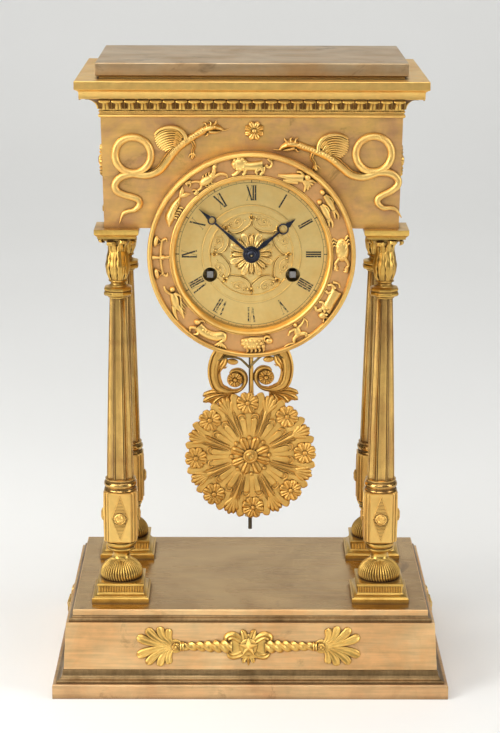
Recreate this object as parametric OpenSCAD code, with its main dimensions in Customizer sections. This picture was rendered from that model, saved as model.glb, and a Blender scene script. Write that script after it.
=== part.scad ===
// Portico mantel clock. Four columns on a stepped base carry a frieze box and
// a moulded top. A drum movement sits in the frieze and hangs its pendulum
// between the columns. The floor is Z = 0 and the dial faces -Y.

/* [Base] */
// Width over the bottom plinth
base_w = 252; // [236:1:270]
// Depth over the bottom plinth
base_d = 168; // [156:1:184]
// Height of the base, floor to the deck the columns stand on
base_h = 55.7; // [52:0.1:60]

/* [Columns] */
// Distance from the middle of the clock to a column, along X
column_x = 83.3; // [80:0.1:86]
// Distance from the middle of the clock to a column, along Y
column_y = 42; // [39:0.5:45]
// Height of a column, deck to frieze
column_h = 242.3; // [236:0.1:250]

/* [Frieze and top] */
// Width of the frieze box at its top
frieze_w = 184.4; // [180:0.2:190]
// Depth of the frieze box
frieze_d = 101; // [98:1:106]
// Height of the frieze box
frieze_h = 68.7; // [66:0.1:72]
// Height of the cornice and the slab over it
cornice_h = 33.3; // [32:0.1:36]

/* [Dial] */
// Height of the dial's centre over the soffit's level, negative is lower
dial_rise = -15.5; // [-17:0.5:-14]
// Radius over the zodiac bezel
bezel_r = 64.1; // [63:0.1:66]
// Radius of the opening that shows the dial
dial_r = 47; // [46:0.2:48]
// Angle of the minute hand, clockwise from XII
minute_angle = 311.6; // [0:0.1:360]
// Angle of the hour hand, clockwise from XII
hour_angle = 50.5; // [0:0.1:360]

/* [Movement] */
// Radius of the movement's plates
plate_r = 42; // [41.5:0.1:43]
// Distance between the plates
plate_gap = 36; // [36:1:38]
// Sideways distance from the dial's centre to a winding square
winding_x = 25.6; // [25.4:0.1:26]
// Distance from the dial's centre down to the winding squares
winding_drop = 12.9; // [12.5:0.1:13.2]

/* [Pendulum] */
// Distance from the dial's centre up to the suspension
suspension_rise = 38; // [37.5:0.1:38.5]
// Distance from the suspension down to the bob's centre
pendulum_l = 185.5; // [180:0.5:190]
// Radius of the bob
bob_r = 43.2; // [38:0.2:45]

/* [Hidden] */
$fn = 64;

// Colours
gilt = [0.86, 0.68, 0.36];
dull_gilt = [0.74, 0.56, 0.36];
brass = [0.80, 0.66, 0.34];
steel = [0.55, 0.56, 0.58];
blued = [0.16, 0.18, 0.24];

// Running clearance between a pivot and its hole, and between parts that move
run = 0.05;
gap = 0.3;

// Base levels and half sizes
bx = base_w / 2;
by = base_d / 2;
plinth_z = 9.5;
block_z = 17.2;
block_top = base_h - 7.4;
block_in = 6.9;
deck_in = 13;

// Column levels over the deck
foot_h = 12.2;
die_z = base_h + 38.2;
die_h = 33.2;
shaft_z = die_z + die_h + 8.4;
capital_z = base_h + column_h - 45;
abacus_h = 6.2;
abacus_half = 13.7;

// Frieze and top
frieze_z = base_h + column_h;
cornice_z = frieze_z + frieze_h;
total_h = cornice_z + cornice_h;
fx = frieze_w / 2;
fy = frieze_d / 2;
wall = 3;
slab_in = 2.8;
slab_h = 7.9;

// Dial and drum: all levels run along Y, front to back
zc = frieze_z + dial_rise;
drum_r = 54;
dial_y = -53;
dial_t = 1.5;
bezel_y = -62;
field_y = -58.5;
motion_gap = 8;
plate_t = 2;
front_y = dial_y + dial_t + motion_gap;
inner_y = front_y + plate_t;
rear_y = inner_y + plate_gap;
plate_back = rear_y + 2.5;
rod_y = plate_back + 11;
bell_y = plate_back + 16;
ring_y = fy + 0.1;
door_y = ring_y + 2.6;
hinge_x = -54.5;
hinge_y = door_y + 1.8;

// Arbor places as [across, up] from the dial's centre
centre = [0, 0];
going = [winding_x, -winding_drop];
strike = [-winding_x, -winding_drop];
escape = [0, 19.5];
suspension = [0, suspension_rise];
minute_stud = [0, -12];
hammer_at = [34, 18];
// Gear sizes: [module, wheel teeth, pinion leaves] of each pair
barrel_m = 0.62;
great_teeth = 60;
leaf8 = 8;
inter_m = 0.60;
inter_teeth = 48;
centre_m = 0.42;
centre_teeth = 72;
leaf7 = 7;
third_m = 0.38;
third_teeth = 70;
pin_m = 0.45;
pin_teeth = 49;
escape_teeth = 40;
escape_r = 12;
cannon_m = 0.50;
hour_m = 0.48;
function span(m, a, b) = m * (a + b) / 2;
// The point at distance ra from a and rb from b, on one side of the line a to b
function meet(a, ra, b, rb, side) =
    let (d = norm(b - a), t = (ra * ra - rb * rb + d * d) / (2 * d),
         h = sqrt(ra * ra - t * t), u = (b - a) / d)
    a + t * u + side * h * [-u[1], u[0]];
inter = meet(going, span(barrel_m, great_teeth, leaf8),
             centre, span(inter_m, inter_teeth, leaf8), -1);
third = meet(centre, span(centre_m, centre_teeth, leaf7),
             escape, span(third_m, third_teeth, leaf7), 1);
pin_at = strike + span(barrel_m, great_teeth, leaf8) * [cos(97), sin(97)];
fly_at = pin_at + span(pin_m, pin_teeth, leaf7) * [cos(70), sin(70)];
function bearing(a, b) = atan2(b[1] - a[1], b[0] - a[0]);

// ---- Shared shapes ------------------------------------------------------

// Puts a shape drawn as seen from the front at a point of the clock. Its own
// Z then runs towards the viewer, so a thickness grows to -Y.
module facing(x, y, z) {
    translate([x, y, z]) rotate([90, 0, 0]) children();
}

// A disc or ring on the Y axis line through an arbor place, from y0 to y1
module turned(at, y0, y1, r, bore = 0) {
    facing(at[0], y1, zc + at[1])
    difference() {
        cylinder(h = y1 - y0, r = r);
        if (bore > 0) translate([0, 0, -1]) cylinder(h = y1 - y0 + 2, r = bore);
    }
}

// A block whose sides follow a profile of [offset, z], mitred at its corners
module mitred(hx, hy, profile) {
    n = len(profile);
    function side(h) = concat(
        [for (p = profile) [h + p[0], p[1]]],
        [for (i = [n - 1:-1:0]) [-h - profile[i][0], profile[i][1]]]);
    intersection() {
        rotate([90, 0, 0])
        linear_extrude(4 * (hx + hy), center = true) polygon(side(hx));
        rotate([90, 0, 90])
        linear_extrude(4 * (hx + hy), center = true) polygon(side(hy));
    }
}

// A plain box given by its half sizes and its two levels
module slab(hx, hy, z0, z1) {
    translate([-hx, -hy, z0]) cube([2 * hx, 2 * hy, z1 - z0]);
}

// Points of a gear: each tooth is [radius, share of the pitch] at three heights
function gear_points(teeth, m, shape) =
    let (r = teeth * m / 2, p = 360 / teeth)
    [for (i = [0:teeth - 1], k = [0:5])
        let (s = k < 3 ? shape[k] : shape[5 - k], side = k < 3 ? -1 : 1,
             a = i * p + side * s[1] * p / 2)
        (r + s[0] * m) * [cos(a), sin(a)]];
wheel_tooth = [[-1.2, 0.55], [0, 0.40], [0.8, 0.10]];
leaf_tooth = [[-1.15, 0.16], [0, 0.38], [0.55, 0.16]];
motion_tooth = [[-1.15, 0.52], [0, 0.39], [0.75, 0.14]];

// A gear on an arbor place, from y0 to y1, with a tooth pointing at angle turn
module gear(at, y0, y1, teeth, m, shape, turn = 0, bore = 0) {
    facing(at[0], y1, zc + at[1])
    difference() {
        linear_extrude(y1 - y0)
        rotate(turn) polygon(gear_points(teeth, m, shape));
        if (bore > 0) translate([0, 0, -1]) cylinder(h = y1 - y0 + 2, r = bore);
    }
}

// A crossed-out wheel: the gear with its spoke windows cut away
module crossed(at, y0, y1, teeth, m, turn, spokes = 4, bore = 0) {
    r = teeth * m / 2;
    facing(at[0], y1, zc + at[1])
    difference() {
        linear_extrude(y1 - y0)
        rotate(turn) polygon(gear_points(teeth, m, wheel_tooth));
        translate([0, 0, -1]) linear_extrude(y1 - y0 + 2)
        difference() {
            circle(r * 0.80);
            circle(r * 0.28);
            for (i = [0:spokes - 1])
                rotate(i * 360 / spokes + 20)
                translate([0, -r * 0.05]) square([r, r * 0.10]);
        }
        if (bore > 0) translate([0, 0, -1]) cylinder(h = y1 - y0 + 2, r = bore);
    }
}

// An arbor that pivots in both plates
module arbor(at, r = 0.8) {
    turned(at, inner_y + gap, rear_y - gap, r);
    turned(at, inner_y - plate_t + 0.2, rear_y + 2.2, 0.5);
}

// ---- Base ---------------------------------------------------------------

module base_plinth() {
    color(gilt)
    difference() {
        mitred(bx, by, [[0, 0], [0, plinth_z], [-2.2, plinth_z + 1.2],
                        [-2.2, plinth_z + 2.4], [-block_in, block_z]]);
        slab(bx - 16, by - 16, -1, block_z + 1);
    }
}

// Outer shape of the base block, whose sides lean in a little
module base_body() {
    mitred(bx, by, [[-block_in, block_z], [-block_in - 1.9, block_top]]);
}

module base_block() {
    color(dull_gilt)
    difference() {
        base_body();
        slab(bx - 13, by - 13, block_z - 1, block_top - 4);
        slab(bx - 20, by - 20, block_z - 1, block_top + 1);
    }
}

module base_deck() {
    color(dull_gilt)
    difference() {
        mitred(bx, by, [[-10.6, block_top], [-10.6, block_top + 1.6],
                        [-deck_in, block_top + 3.6], [-deck_in, base_h]]);
        slab(bx - 18, by - 18, block_top - 1, base_h - 3);
    }
}

module base_board() {
    color([0.25, 0.20, 0.16])
    slab(bx - 16.2, by - 16.2, 0.6, 3);
}

// Fan of lobes, drawn with its root at the origin and opening along +X
module palmette(r, lobes = 7) {
    for (i = [0:lobes - 1])
        rotate((i - (lobes - 1) / 2) * 150 / (lobes - 1))
        translate([r * 0.62, 0]) circle(r * 0.17);
    circle(r * 0.66);
}

module base_front_mount() {
    color(gilt)
    difference() {
        front_star();
        base_body();
    }
}

// Star with two long arms that end in palmettes
module front_star() {
    facing(0, -by + block_in + 1.6, (block_z + block_top) / 2 + 0.3) {
        linear_extrude(2.4) {
            for (s = [0, 1]) mirror([s, 0]) {
                translate([59, 0]) palmette(12.5);
                polygon([[4, -3.6], [59, -1.8], [59, 1.8], [4, 3.6]]);
            }
            for (a = [40, 140, 215, 325])
                rotate(a) translate([9, 0]) circle(4.5);
            circle(9);
        }
        translate([0, 0, 2.4]) cylinder(h = 2.4, r = 5.5);
        translate([0, 0, 4.8]) cylinder(h = 1.4, r = 2.6);
    }
}

module base_side_mount(side) {
    color(gilt)
    difference() {
        side_star(side);
        base_body();
    }
}

// Star with two short arms
module side_star(side) {
    mirror([side < 0 ? 1 : 0, 0, 0])
    translate([bx - block_in - 1.7, 0, (block_z + block_top) / 2 + 0.3])
    rotate([90, 0, 90]) {
        linear_extrude(2.2) {
            circle(9);
            for (a = [45:90:315]) rotate(a) translate([9, 0]) circle(4);
            for (s = [0, 1]) mirror([s, 0])
                polygon([[6, -2.4], [22, -1.4], [22, 1.4], [6, 2.4]]);
        }
        translate([0, 0, 2.2]) cylinder(h = 2.2, r = 5);
        translate([0, 0, 4.4]) cylinder(h = 1.6, r = 2.4);
    }
}

module base_side_mount_left() base_side_mount(-1);
module base_side_mount_right() base_side_mount(1);

// ---- Columns ------------------------------------------------------------

module pedestal(sx, sy) {
    color(gilt)
    translate([sx * column_x, sy * column_y, 0]) {
        slab(18.2, 18.2, base_h, base_h + 3.5);
        mitred(15, 15, [[2.2, base_h + 3.3], [-0.4, base_h + 6.2],
                        [-0.4, base_h + foot_h + 0.2]]);
        rotate_extrude()
        polygon(concat(
            [[0, base_h + foot_h]],
            [for (a = [-50:10:80]) [13.8 * cos(a * 0.98), base_h + 18.2 + 6.4 * sin(a)]],
            [[5.7, base_h + 26], [6.4, base_h + 29.6], [8.8, base_h + 30.6],
             [9.0, base_h + 33], [10.3, die_z], [10.3, die_z + 0.2], [0, die_z + 0.2]]));
        translate([0, 0, die_z])
        rotate(22.5) cylinder(h = die_h, r = 10.6 / cos(22.5), $fn = 8);
        for (a = [0:90:270])
            rotate(a) translate([10.4, 0, die_z + die_h / 2 - 0.3])
            rotate([0, 90, 0]) cylinder(h = 2.2, r = 3.9);
    }
}

module pedestal_fl() pedestal(-1, -1);
module pedestal_fr() pedestal(1, -1);
module pedestal_rl() pedestal(-1, 1);
module pedestal_rr() pedestal(1, 1);

// Ring on the pedestal and the long tapering shaft over it
module shaft(sx, sy) {
    z1 = capital_z;
    color(gilt)
    translate([sx * column_x, sy * column_y, 0])
    rotate_extrude()
    polygon(concat(
        [[0, die_z + die_h]],
        [for (a = [-90:15:90]) [8 + 2.6 * cos(a), die_z + die_h + 4.2 + 4.2 * sin(a)]],
        [[8.4, shaft_z], [5.3, z1], [0, z1]]));
}

module shaft_fl() shaft(-1, -1);
module shaft_fr() shaft(1, -1);
module shaft_rl() shaft(-1, 1);
module shaft_rr() shaft(1, 1);

module capital(sx, sy) {
    top = frieze_z - abacus_h;
    color(gilt)
    translate([sx * column_x, sy * column_y, 0]) {
        translate([0, 0, capital_z + 0.4])
        rotate(22.5) cylinder(h = 7.4, r = 8.3 / cos(22.5), $fn = 8);
        rotate_extrude()
        polygon([[0, capital_z], [6.8, capital_z], [6.8, capital_z + 8.8],
                 [5.6, capital_z + 10.6], [6.9, capital_z + 17],
                 [6.7, capital_z + 23], [4.9, capital_z + 28.6],
                 [6.4, capital_z + 32.5], [9.4, top - 1.6], [9.6, top], [0, top]]);
        mitred(abacus_half, abacus_half,
               [[-2.2, top], [-1.7, top + 2.4], [0, top + 3], [0, frieze_z]]);
    }
}

module capital_fl() capital(-1, -1);
module capital_fr() capital(1, -1);
module capital_rl() capital(-1, 1);
module capital_rr() capital(1, 1);

// ---- Frieze and top -----------------------------------------------------

// Outer shape of the frieze, a little wider at its top
module frieze_body() {
    mitred(fx, fy, [[-1.3, frieze_z], [0, cornice_z]]);
}

module frieze_box() {
    color(dull_gilt)
    difference() {
        frieze_body();
        slab(fx - wall - 1.4, fy - wall, frieze_z + 2.5, cornice_z + 1);
        facing(0, fy + 1, zc) cylinder(h = frieze_d + 2, r = drum_r + 0.2, $fn = 128);
    }
}

// Fillets, leaf cove, plate and the recessed neck under the top slab
module cornice() {
    color(gilt)
    difference() {
        mitred(fx, fy, concat(
            [[-1, cornice_z], [1.4, cornice_z + 0.4], [1.4, cornice_z + 2.2],
             [0.4, cornice_z + 3], [1.8, cornice_z + 4.6]],
            [for (a = [0:15:90])
                [1.8 + 8.8 * (1 - cos(a)), cornice_z + 5.4 + 7 * sin(a)]],
            [[12.3, cornice_z + 12.8], [12.3, cornice_z + 17],
             [14.9, cornice_z + 18.6], [14.9, cornice_z + 23.5],
             [0.6, cornice_z + 23.6], [0.6, total_h - slab_h]]));
        slab(fx - 6, fy - 6, cornice_z - 1, total_h);
    }
}

module top_slab() {
    color(dull_gilt)
    difference() {
        slab(fx + slab_in, fy + slab_in, total_h - slab_h, total_h);
        slab(fx - 2, fy - 2, total_h - slab_h - 1, total_h - 3);
    }
}

module frieze_rosette() {
    color(gilt)
    facing(1.5, -fy - 0.1, zc + 76.3) {
        linear_extrude(1.6)
        for (i = [0:9]) rotate(i * 36) translate([4.2, 0]) circle(1.8);
        cylinder(h = 2.2, r = 3.8);
        translate([0, 0, 2.2]) cylinder(h = 1, r = 1.8);
    }
}

// A round bar that follows an arc from angle a0 through sweep
module bar_arc(r, a0, sweep, thick) {
    rotate(a0) rotate_extrude(angle = sweep) translate([r, 0]) circle(thick);
}

// Winged serpent, drawn from the middle of its coil: coil, double-bent tail,
// neck, head, wing and claw
module serpent() {
    t = 2.1;
    bar_arc(11, 0, 360, t);
    translate([-4, -18.2]) bar_arc(7.2, 90, 168, t);
    translate([-2.6, -30.8]) bar_arc(5.6, -62, 174, t);
    translate([0.8, -44.4]) bar_arc(8.8, 88, 76, t * 0.75);
    translate([5, 7]) bar_arc(18, -106, 92, t);
    translate([22.2, 1.4]) rotate([0, 90, 31]) cylinder(h = 26, r = t * 0.9);
    translate([44.2, 14.6]) rotate([0, 90, 31]) cylinder(h = 7, r = t * 1.3);
    translate([0, 0, -1.6]) linear_extrude(4.2)
    polygon([[12.2, 9], [16, 15], [22, 18.4], [29, 17.2], [31, 10], [27, 4], [16, 4]]);
    translate([0, 0, -1.2]) linear_extrude(2.6)
    polygon([[30, 8], [35, 10], [36, 1], [33, -3], [32, 2]]);
}

// A serpent laid on the frieze, clear of the bezel and cut flat at its back
module serpent_on(x, up, side, turn) {
    color(gilt)
    difference() {
        facing(x, -fy - 1.5, zc + up)
        mirror([side < 0 ? 0 : 1, 0, 0]) rotate(turn) serpent();
        frieze_body();
        turned(centre, -fy - 20, -fy + 2, bezel_r + 0.2);
        slab(fx, fy + 20, frieze_z - 20, frieze_z + 0.2);
    }
}

module serpent_left() serpent_on(-72.5, 61, -1, 0);
module serpent_right() serpent_on(74.6, 62, 1, -12.8);

// Wreath with a boss and two hanging ribbons on the side of the frieze
module frieze_wreath(side) {
    color(gilt)
    mirror([side < 0 ? 1 : 0, 0, 0])
    translate([fx + 0.1, 0, frieze_z + 35])
    rotate([90, 0, 90]) {
        translate([0, 0, 2.6]) rotate_extrude() translate([9, 0]) circle(2.6);
        linear_extrude(1.6) circle(9);
        cylinder(h = 7, r = 4.4);
        translate([0, 0, 7]) cylinder(h = 2.2, r = 2.4);
        for (s = [0, 1]) mirror([s, 0])
            linear_extrude(1.6)
            polygon([[0, -6], [6, -8], [11, -28], [6, -28], [2, -14]]);
    }
}

module frieze_wreath_left() frieze_wreath(-1);
module frieze_wreath_right() frieze_wreath(1);

// ---- Drum, bezel and dial -----------------------------------------------

module drum_case() {
    color(brass)
    difference() {
        union() {
            turned(centre, -fy + 0.2, fy, drum_r);
            turned(centre, ring_y, ring_y + 2.5, 57);
            for (s = [-1, 1])
                translate([hinge_x, hinge_y, zc + s * 6])
                cylinder(h = 4, r = 1.5, center = true);
            for (s = [-1, 1])
                translate([hinge_x - 1.5, ring_y + 2, zc + s * 6 - 2]) cube([3, 2.4, 4]);
        }
        turned(centre, -fy - 1, fy + 1, drum_r - 1.6);
        turned(centre, fy - 1, fy + 5, 50);
        translate([-10, rod_y - 6, zc - drum_r - 2]) cube([20, 12, 12]);
        translate([hinge_x, hinge_y, zc]) cylinder(h = 30, r = 0.65, center = true);
    }
    color(brass)
    difference() {
        turned(centre, ring_y - 0.2, ring_y + 0.2, 55);
        turned(centre, fy - 1, fy + 5, drum_r - 1.6);
    }
}

// Flat field with a raised outer rim and a stepped inner rim
module bezel() {
    color(gilt)
    translate([0, 0, zc]) rotate([90, 0, 0]) rotate_extrude($fn = 128)
    polygon([
        [dial_r, -dial_y + 0.2], [dial_r, 58], [dial_r + 0.8, 59.6],
        [dial_r + 2.2, 60.6], [dial_r + 3.4, 60], [dial_r + 3.8, -field_y],
        [bezel_r - 3.2, -field_y], [bezel_r - 3, 61], [bezel_r - 1.6, -bezel_y],
        [bezel_r - 0.3, 61], [bezel_r, 59.4], [bezel_r, fy + 0.2],
        [drum_r - 4, fy + 0.2], [drum_r - 4, -dial_y + 0.2]]);
}

module zodiac_reliefs() {
    color(gilt)
    facing(0, field_y, zc)
    for (i = [0:11])
        rotate(90 - 30 * i) translate([55.6, 0, 0]) {
            linear_extrude(1.6) scale([1, 2.2]) circle(3.6);
            linear_extrude(2.4) scale([1, 2.2]) circle(2.2);
        }
}

module dial() {
    color([0.78, 0.70, 0.40])
    difference() {
        union() {
            turned(centre, dial_y, dial_y + dial_t, 49.6);
            turned(centre, dial_y - 0.5, dial_y + 0.1, 31, 26);
            for (a = [35, 145, 270])
                turned(38 * [cos(a), sin(a)], dial_y + 0.5, front_y - 0.1, 1.5);
        }
        turned(centre, dial_y - 2, dial_y + 3, 3.6);
        turned(going, dial_y - 2, dial_y + 3, 4.5);
        turned(strike, dial_y - 2, dial_y + 3, 4.5);
    }
}

// ---- Hands --------------------------------------------------------------

// A hand with a hollow ring, pointing along +Y of its own frame
module hand(length, ring, ring_r, width, hub, bore) {
    difference() {
        union() {
            circle(hub);
            polygon([[-width, 0], [-width * 0.5, ring], [0, length],
                     [width * 0.5, ring], [width, 0]]);
            translate([0, ring]) circle(ring_r);
            polygon([[-ring_r * 0.8, ring + ring_r * 0.5], [0, length],
                     [ring_r * 0.8, ring + ring_r * 0.5]]);
        }
        translate([0, ring]) circle(ring_r * 0.64);
        circle(bore);
    }
}

module minute_hand() {
    color(blued)
    facing(0, dial_y - 2.8, zc)
    linear_extrude(0.7) rotate(-minute_angle) hand(43.2, 32.6, 2.7, 0.85, 3.6, 1.2);
}

module hour_hand() {
    color(blued)
    facing(0, dial_y - 1.1, zc)
    linear_extrude(0.8) rotate(-hour_angle) hand(34.9, 25.3, 3.3, 1.1, 5, 3.0);
}

module hand_collet() {
    color(blued)
    difference() {
        turned(centre, dial_y - 4.9, dial_y - 3.5, 2.6);
        turned(centre, dial_y - 5.5, dial_y - 3, 0.8);
    }
}

// ---- Movement plates ----------------------------------------------------

// Holes for the pivots of every arbor
module pivot_holes(y0, y1) {
    for (p = [inter, third, escape, pin_at, fly_at, hammer_at])
        turned(p, y0, y1, 0.5 + run);
    for (p = [going, strike]) turned(p, y0, y1, 2.4 + run);
}

module front_plate() {
    color(brass)
    difference() {
        union() {
            turned(centre, front_y, inner_y, plate_r);
            turned(minute_stud, front_y - 6.4, front_y + 1, 0.8);
        }
        pivot_holes(front_y - 1, inner_y + 1);
        turned(centre, front_y - 1, inner_y + 1, 1.3);
        turned(suspension, front_y - 1, inner_y + 1, 0.5 + run);
    }
}

module back_plate() {
    color(brass) {
        difference() {
            turned(centre, rear_y, plate_back, plate_r);
            pivot_holes(rear_y - 1, plate_back + 1);
            turned(centre, rear_y - 1, plate_back + 1, 0.5 + run);
            turned(suspension, rear_y - 1, plate_back + 1, 2);
        }
        for (a = [60, 120, 250, 290])
            turned(38.5 * [cos(a), sin(a)], inner_y, rear_y + 0.5, 2);
        difference() {
            translate([-42, plate_back - 0.5, zc - 14]) cube([9, 2, 8]);
            turned(centre, plate_back - 2, plate_back + 3, 34);
        }
        translate([-42, plate_back, zc - 13]) cube([2, 37, 6]);
        translate([-42, plate_back + 35, zc - 13]) cube([44, 2, 6]);
        translate([-4, plate_back + 35, zc - 13]) cube([8, 2, 17]);
    }
}

// ---- Going train, from the barrel to the pallets ------------------------

great_y = inner_y + 11;

module barrel(at, towards) {
    color(brass)
    difference() {
        union() {
            gear(at, great_y, great_y + 2, great_teeth, barrel_m, wheel_tooth,
                 bearing(at, towards));
            turned(at, great_y + 1, rear_y - 1, 16.4);
        }
        turned(at, great_y + 3.5, rear_y - 2.5, 15.2);
        turned(at, great_y - 1, rear_y, 2.6 + run);
    }
}

module going_barrel() barrel(going, inter);
module strike_barrel() barrel(strike, pin_at);

module winding_arbor(at) {
    color(steel) {
        turned(at, front_y - 1, plate_back + 0.6, 2.4);
        turned(at, great_y + 0.2, rear_y - 1.2, 2.6);
        turned(at, great_y + 6, rear_y - 5, 4.6);
        translate([at[0] - 1.9, dial_y + 0.4, zc + at[1] - 1.9])
        cube([3.8, front_y - dial_y - 1, 3.8]);
    }
}

module going_arbor() winding_arbor(going);
module strike_arbor() winding_arbor(strike);

module intermediate_wheel() {
    color(brass)
    crossed(inter, inner_y + 7.6, inner_y + 9, inter_teeth, inter_m,
            bearing(inter, centre));
    color(steel) {
        gear(inter, great_y - 1.8, great_y + 2.4, leaf8, barrel_m, leaf_tooth,
             bearing(inter, going) + 180 / leaf8);
        arbor(inter);
    }
}

module centre_wheel() {
    color(brass)
    crossed(centre, inner_y + 2.5, inner_y + 3.9, centre_teeth, centre_m,
            bearing(centre, third));
    color(steel) {
        gear(centre, inner_y + 6.9, inner_y + 9.7, leaf8, inter_m, leaf_tooth,
             bearing(centre, inter) + 180 / leaf8);
        turned(centre, inner_y + gap, rear_y - gap, 1.4);
        turned(centre, dial_y - 5.2, rear_y + 2.2, 0.5);
        turned(centre, dial_y - 3.5, inner_y + 1, 0.75);
        turned(centre, front_y - 1.2, inner_y + 1, 1.2);
    }
}

module third_wheel() {
    color(brass)
    crossed(third, inner_y + 5.6, inner_y + 6.8, third_teeth, third_m,
            bearing(third, escape));
    color(steel) {
        gear(third, inner_y + 1.7, inner_y + 4.7, leaf7, centre_m, leaf_tooth,
             bearing(third, centre) + 180 / leaf7);
        arbor(third, 0.7);
    }
}

escape_y = inner_y + 22;

module escape_wheel() {
    r = escape_r;
    step = 360 / escape_teeth;
    color(brass)
    facing(escape[0], escape_y + 1.2, zc + escape[1])
    linear_extrude(1.2)
    difference() {
        polygon([for (i = [0:escape_teeth - 1], k = [0, 1])
            (k == 0 ? r - 1.5 : r) * [cos((i + k * 0.25) * step),
                                      sin((i + k * 0.25) * step)]]);
        difference() {
            circle(r * 0.74);
            circle(r * 0.24);
            for (i = [0:3]) rotate(i * 90) translate([0, -0.5]) square([r, 1]);
        }
    }
    color(steel) {
        gear(escape, inner_y + 5.0, inner_y + 7.4, leaf7, third_m, leaf_tooth,
             bearing(escape, third) + 180 / leaf7);
        arbor(escape, 0.6);
    }
}

// Anchor over the escape wheel, its arbor, and the crutch behind the plate
module pallets() {
    drop = suspension[1] - escape[1];
    reach = escape_r + 1.4;
    color(steel) {
        facing(0, escape_y + 1.8, zc + suspension[1])
        linear_extrude(2.4) {
            circle(2.4);
            difference() {
                translate([0, -drop]) circle(reach + 2.4);
                translate([0, -drop]) circle(reach);
                translate([-30, -drop - 40]) square([60, 40 + reach * sin(38)]);
            }
            translate([-1.4, -drop + reach + 0.6])
            square([2.8, drop - reach]);
        }
        turned(suspension, inner_y + gap, plate_back + 5.2, 1);
        turned(suspension, inner_y - plate_t + 0.2, inner_y + 1, 0.5);
        turned(suspension, plate_back + 5, plate_back + 7.4, 0.5);
        turned(suspension, plate_back + 0.6, plate_back + 2.4, 2.2);
        translate([-1.2, plate_back + 0.8, zc + 8]) cube([2.4, 1.4, 29]);
        difference() {
            translate([-3.2, plate_back + 0.8, zc + 5]) cube([6.4, 13, 4]);
            translate([-1.55, plate_back + 3, zc + 4]) cube([3.1, 12, 6]);
        }
    }
}

// Cock that holds the pallet arbor and pinches the suspension spring
module suspension_cock() {
    z0 = zc + suspension[1];
    color(brass)
    difference() {
        union() {
            for (s = [-1, 1])
                turned([s * 10.5, suspension[1] - 3], plate_back, plate_back + 6, 2);
            translate([-13, plate_back + 5.6, z0 - 5]) cube([26, 1.8, 13]);
            translate([-4, plate_back + 6, z0]) cube([8, 8, 8]);
        }
        turned(suspension, plate_back + 5, plate_back + 8, 0.5 + run);
        translate([-0.7, plate_back + 8, z0 - 1]) cube([1.4, 8, 6]);
    }
}

// ---- Motion work behind the dial ----------------------------------------

module cannon_pinion() {
    color(steel) {
        gear(centre, front_y - 3.4, front_y - 1.4, 12, cannon_m, motion_tooth,
             bearing(centre, minute_stud) + 15, 1.2 + run);
        difference() {
            turned(centre, dial_y - 3.5, front_y - 1.4, 1.8, 0.75 + run);
            turned(centre, front_y - 3.6, front_y, 1.2 + run);
            turned(centre, dial_y - 3.6, dial_y - 2.8, 5, 1.2);
        }
    }
}

module minute_wheel() {
    color(brass)
    gear(minute_stud, front_y - 3.1, front_y - 1.8, 36, cannon_m, motion_tooth,
         bearing(minute_stud, centre), 0.8 + run);
    color(steel)
    gear(minute_stud, front_y - 6.2, front_y - 3, 10, hour_m, motion_tooth,
         bearing(minute_stud, centre) + 18, 0.8 + run);
}

module hour_wheel() {
    color(brass) {
        gear(centre, front_y - 5.6, front_y - 4.3, 40, hour_m, motion_tooth,
             bearing(centre, minute_stud), 1.8 + run);
        turned(centre, dial_y - 2.2, front_y - 4.3, 3.0, 1.8 + run);
    }
}

// ---- Strike train, hammer and bell --------------------------------------

module pin_wheel() {
    color(brass)
    crossed(pin_at, great_y - 2, great_y - 0.6, pin_teeth, pin_m,
            bearing(pin_at, fly_at));
    color(steel) {
        gear(pin_at, great_y - 0.8, great_y + 2.4, leaf8, barrel_m, leaf_tooth,
             bearing(pin_at, strike) + 180 / leaf8);
        for (a = [0:45:315])
            turned(pin_at + 9.6 * [cos(a), sin(a)], great_y - 3.6, great_y - 1.6, 0.45);
        arbor(pin_at);
    }
}

module fly() {
    color(brass)
    translate([fly_at[0] - 7.5, inner_y + 20, zc + fly_at[1] - 0.25])
    cube([15, 11, 0.5]);
    color(steel) {
        gear(fly_at, great_y - 3, great_y + 0.2, leaf7, pin_m, leaf_tooth,
             bearing(fly_at, pin_at) + 180 / leaf7);
        arbor(fly_at, 0.6);
    }
}

module hammer() {
    x = hammer_at[0];
    z = zc + hammer_at[1];
    color(steel) {
        arbor(hammer_at, 0.9);
        turned(hammer_at, rear_y + 1, plate_back + 2.6, 0.5);
        turned(hammer_at, plate_back + 0.6, plate_back + 2.6, 2);
        translate([x - 0.9, plate_back + 0.6, z - 20]) cube([1.8, 2, 20]);
        turned([x, hammer_at[1] - 20], plate_back + 0.6, bell_y + 2, 1.1);
        turned([x, hammer_at[1] - 20], bell_y + 1, bell_y + 9, 3.2);
        translate([x - 13, inner_y + 16, z - 0.6]) cube([13, 2, 1.2]);
    }
}

module bell() {
    r = 30;
    color(brass)
    translate([0, 0, zc]) rotate([-90, 0, 0]) {
        rotate_extrude()
        polygon(concat(
            [for (a = [0:9:81]) [r * cos(a), bell_y + 18 * sin(a)]],
            [[0.8, bell_y + 18], [0.8, bell_y + 16.4]],
            [for (a = [81:-9:0]) [(r - 1.6) * cos(a), bell_y + 16.4 * sin(a)]]));
        translate([0, 0, bell_y + 14]) cylinder(h = 5.2, r = 1.4);
    }
}

// ---- Pendulum -----------------------------------------------------------

pivot_z = zc + suspension_rise;
bob_z = pivot_z - pendulum_l;
rod_r = 1.25;
nut_z = bob_z - bob_r + 3.4;

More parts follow.
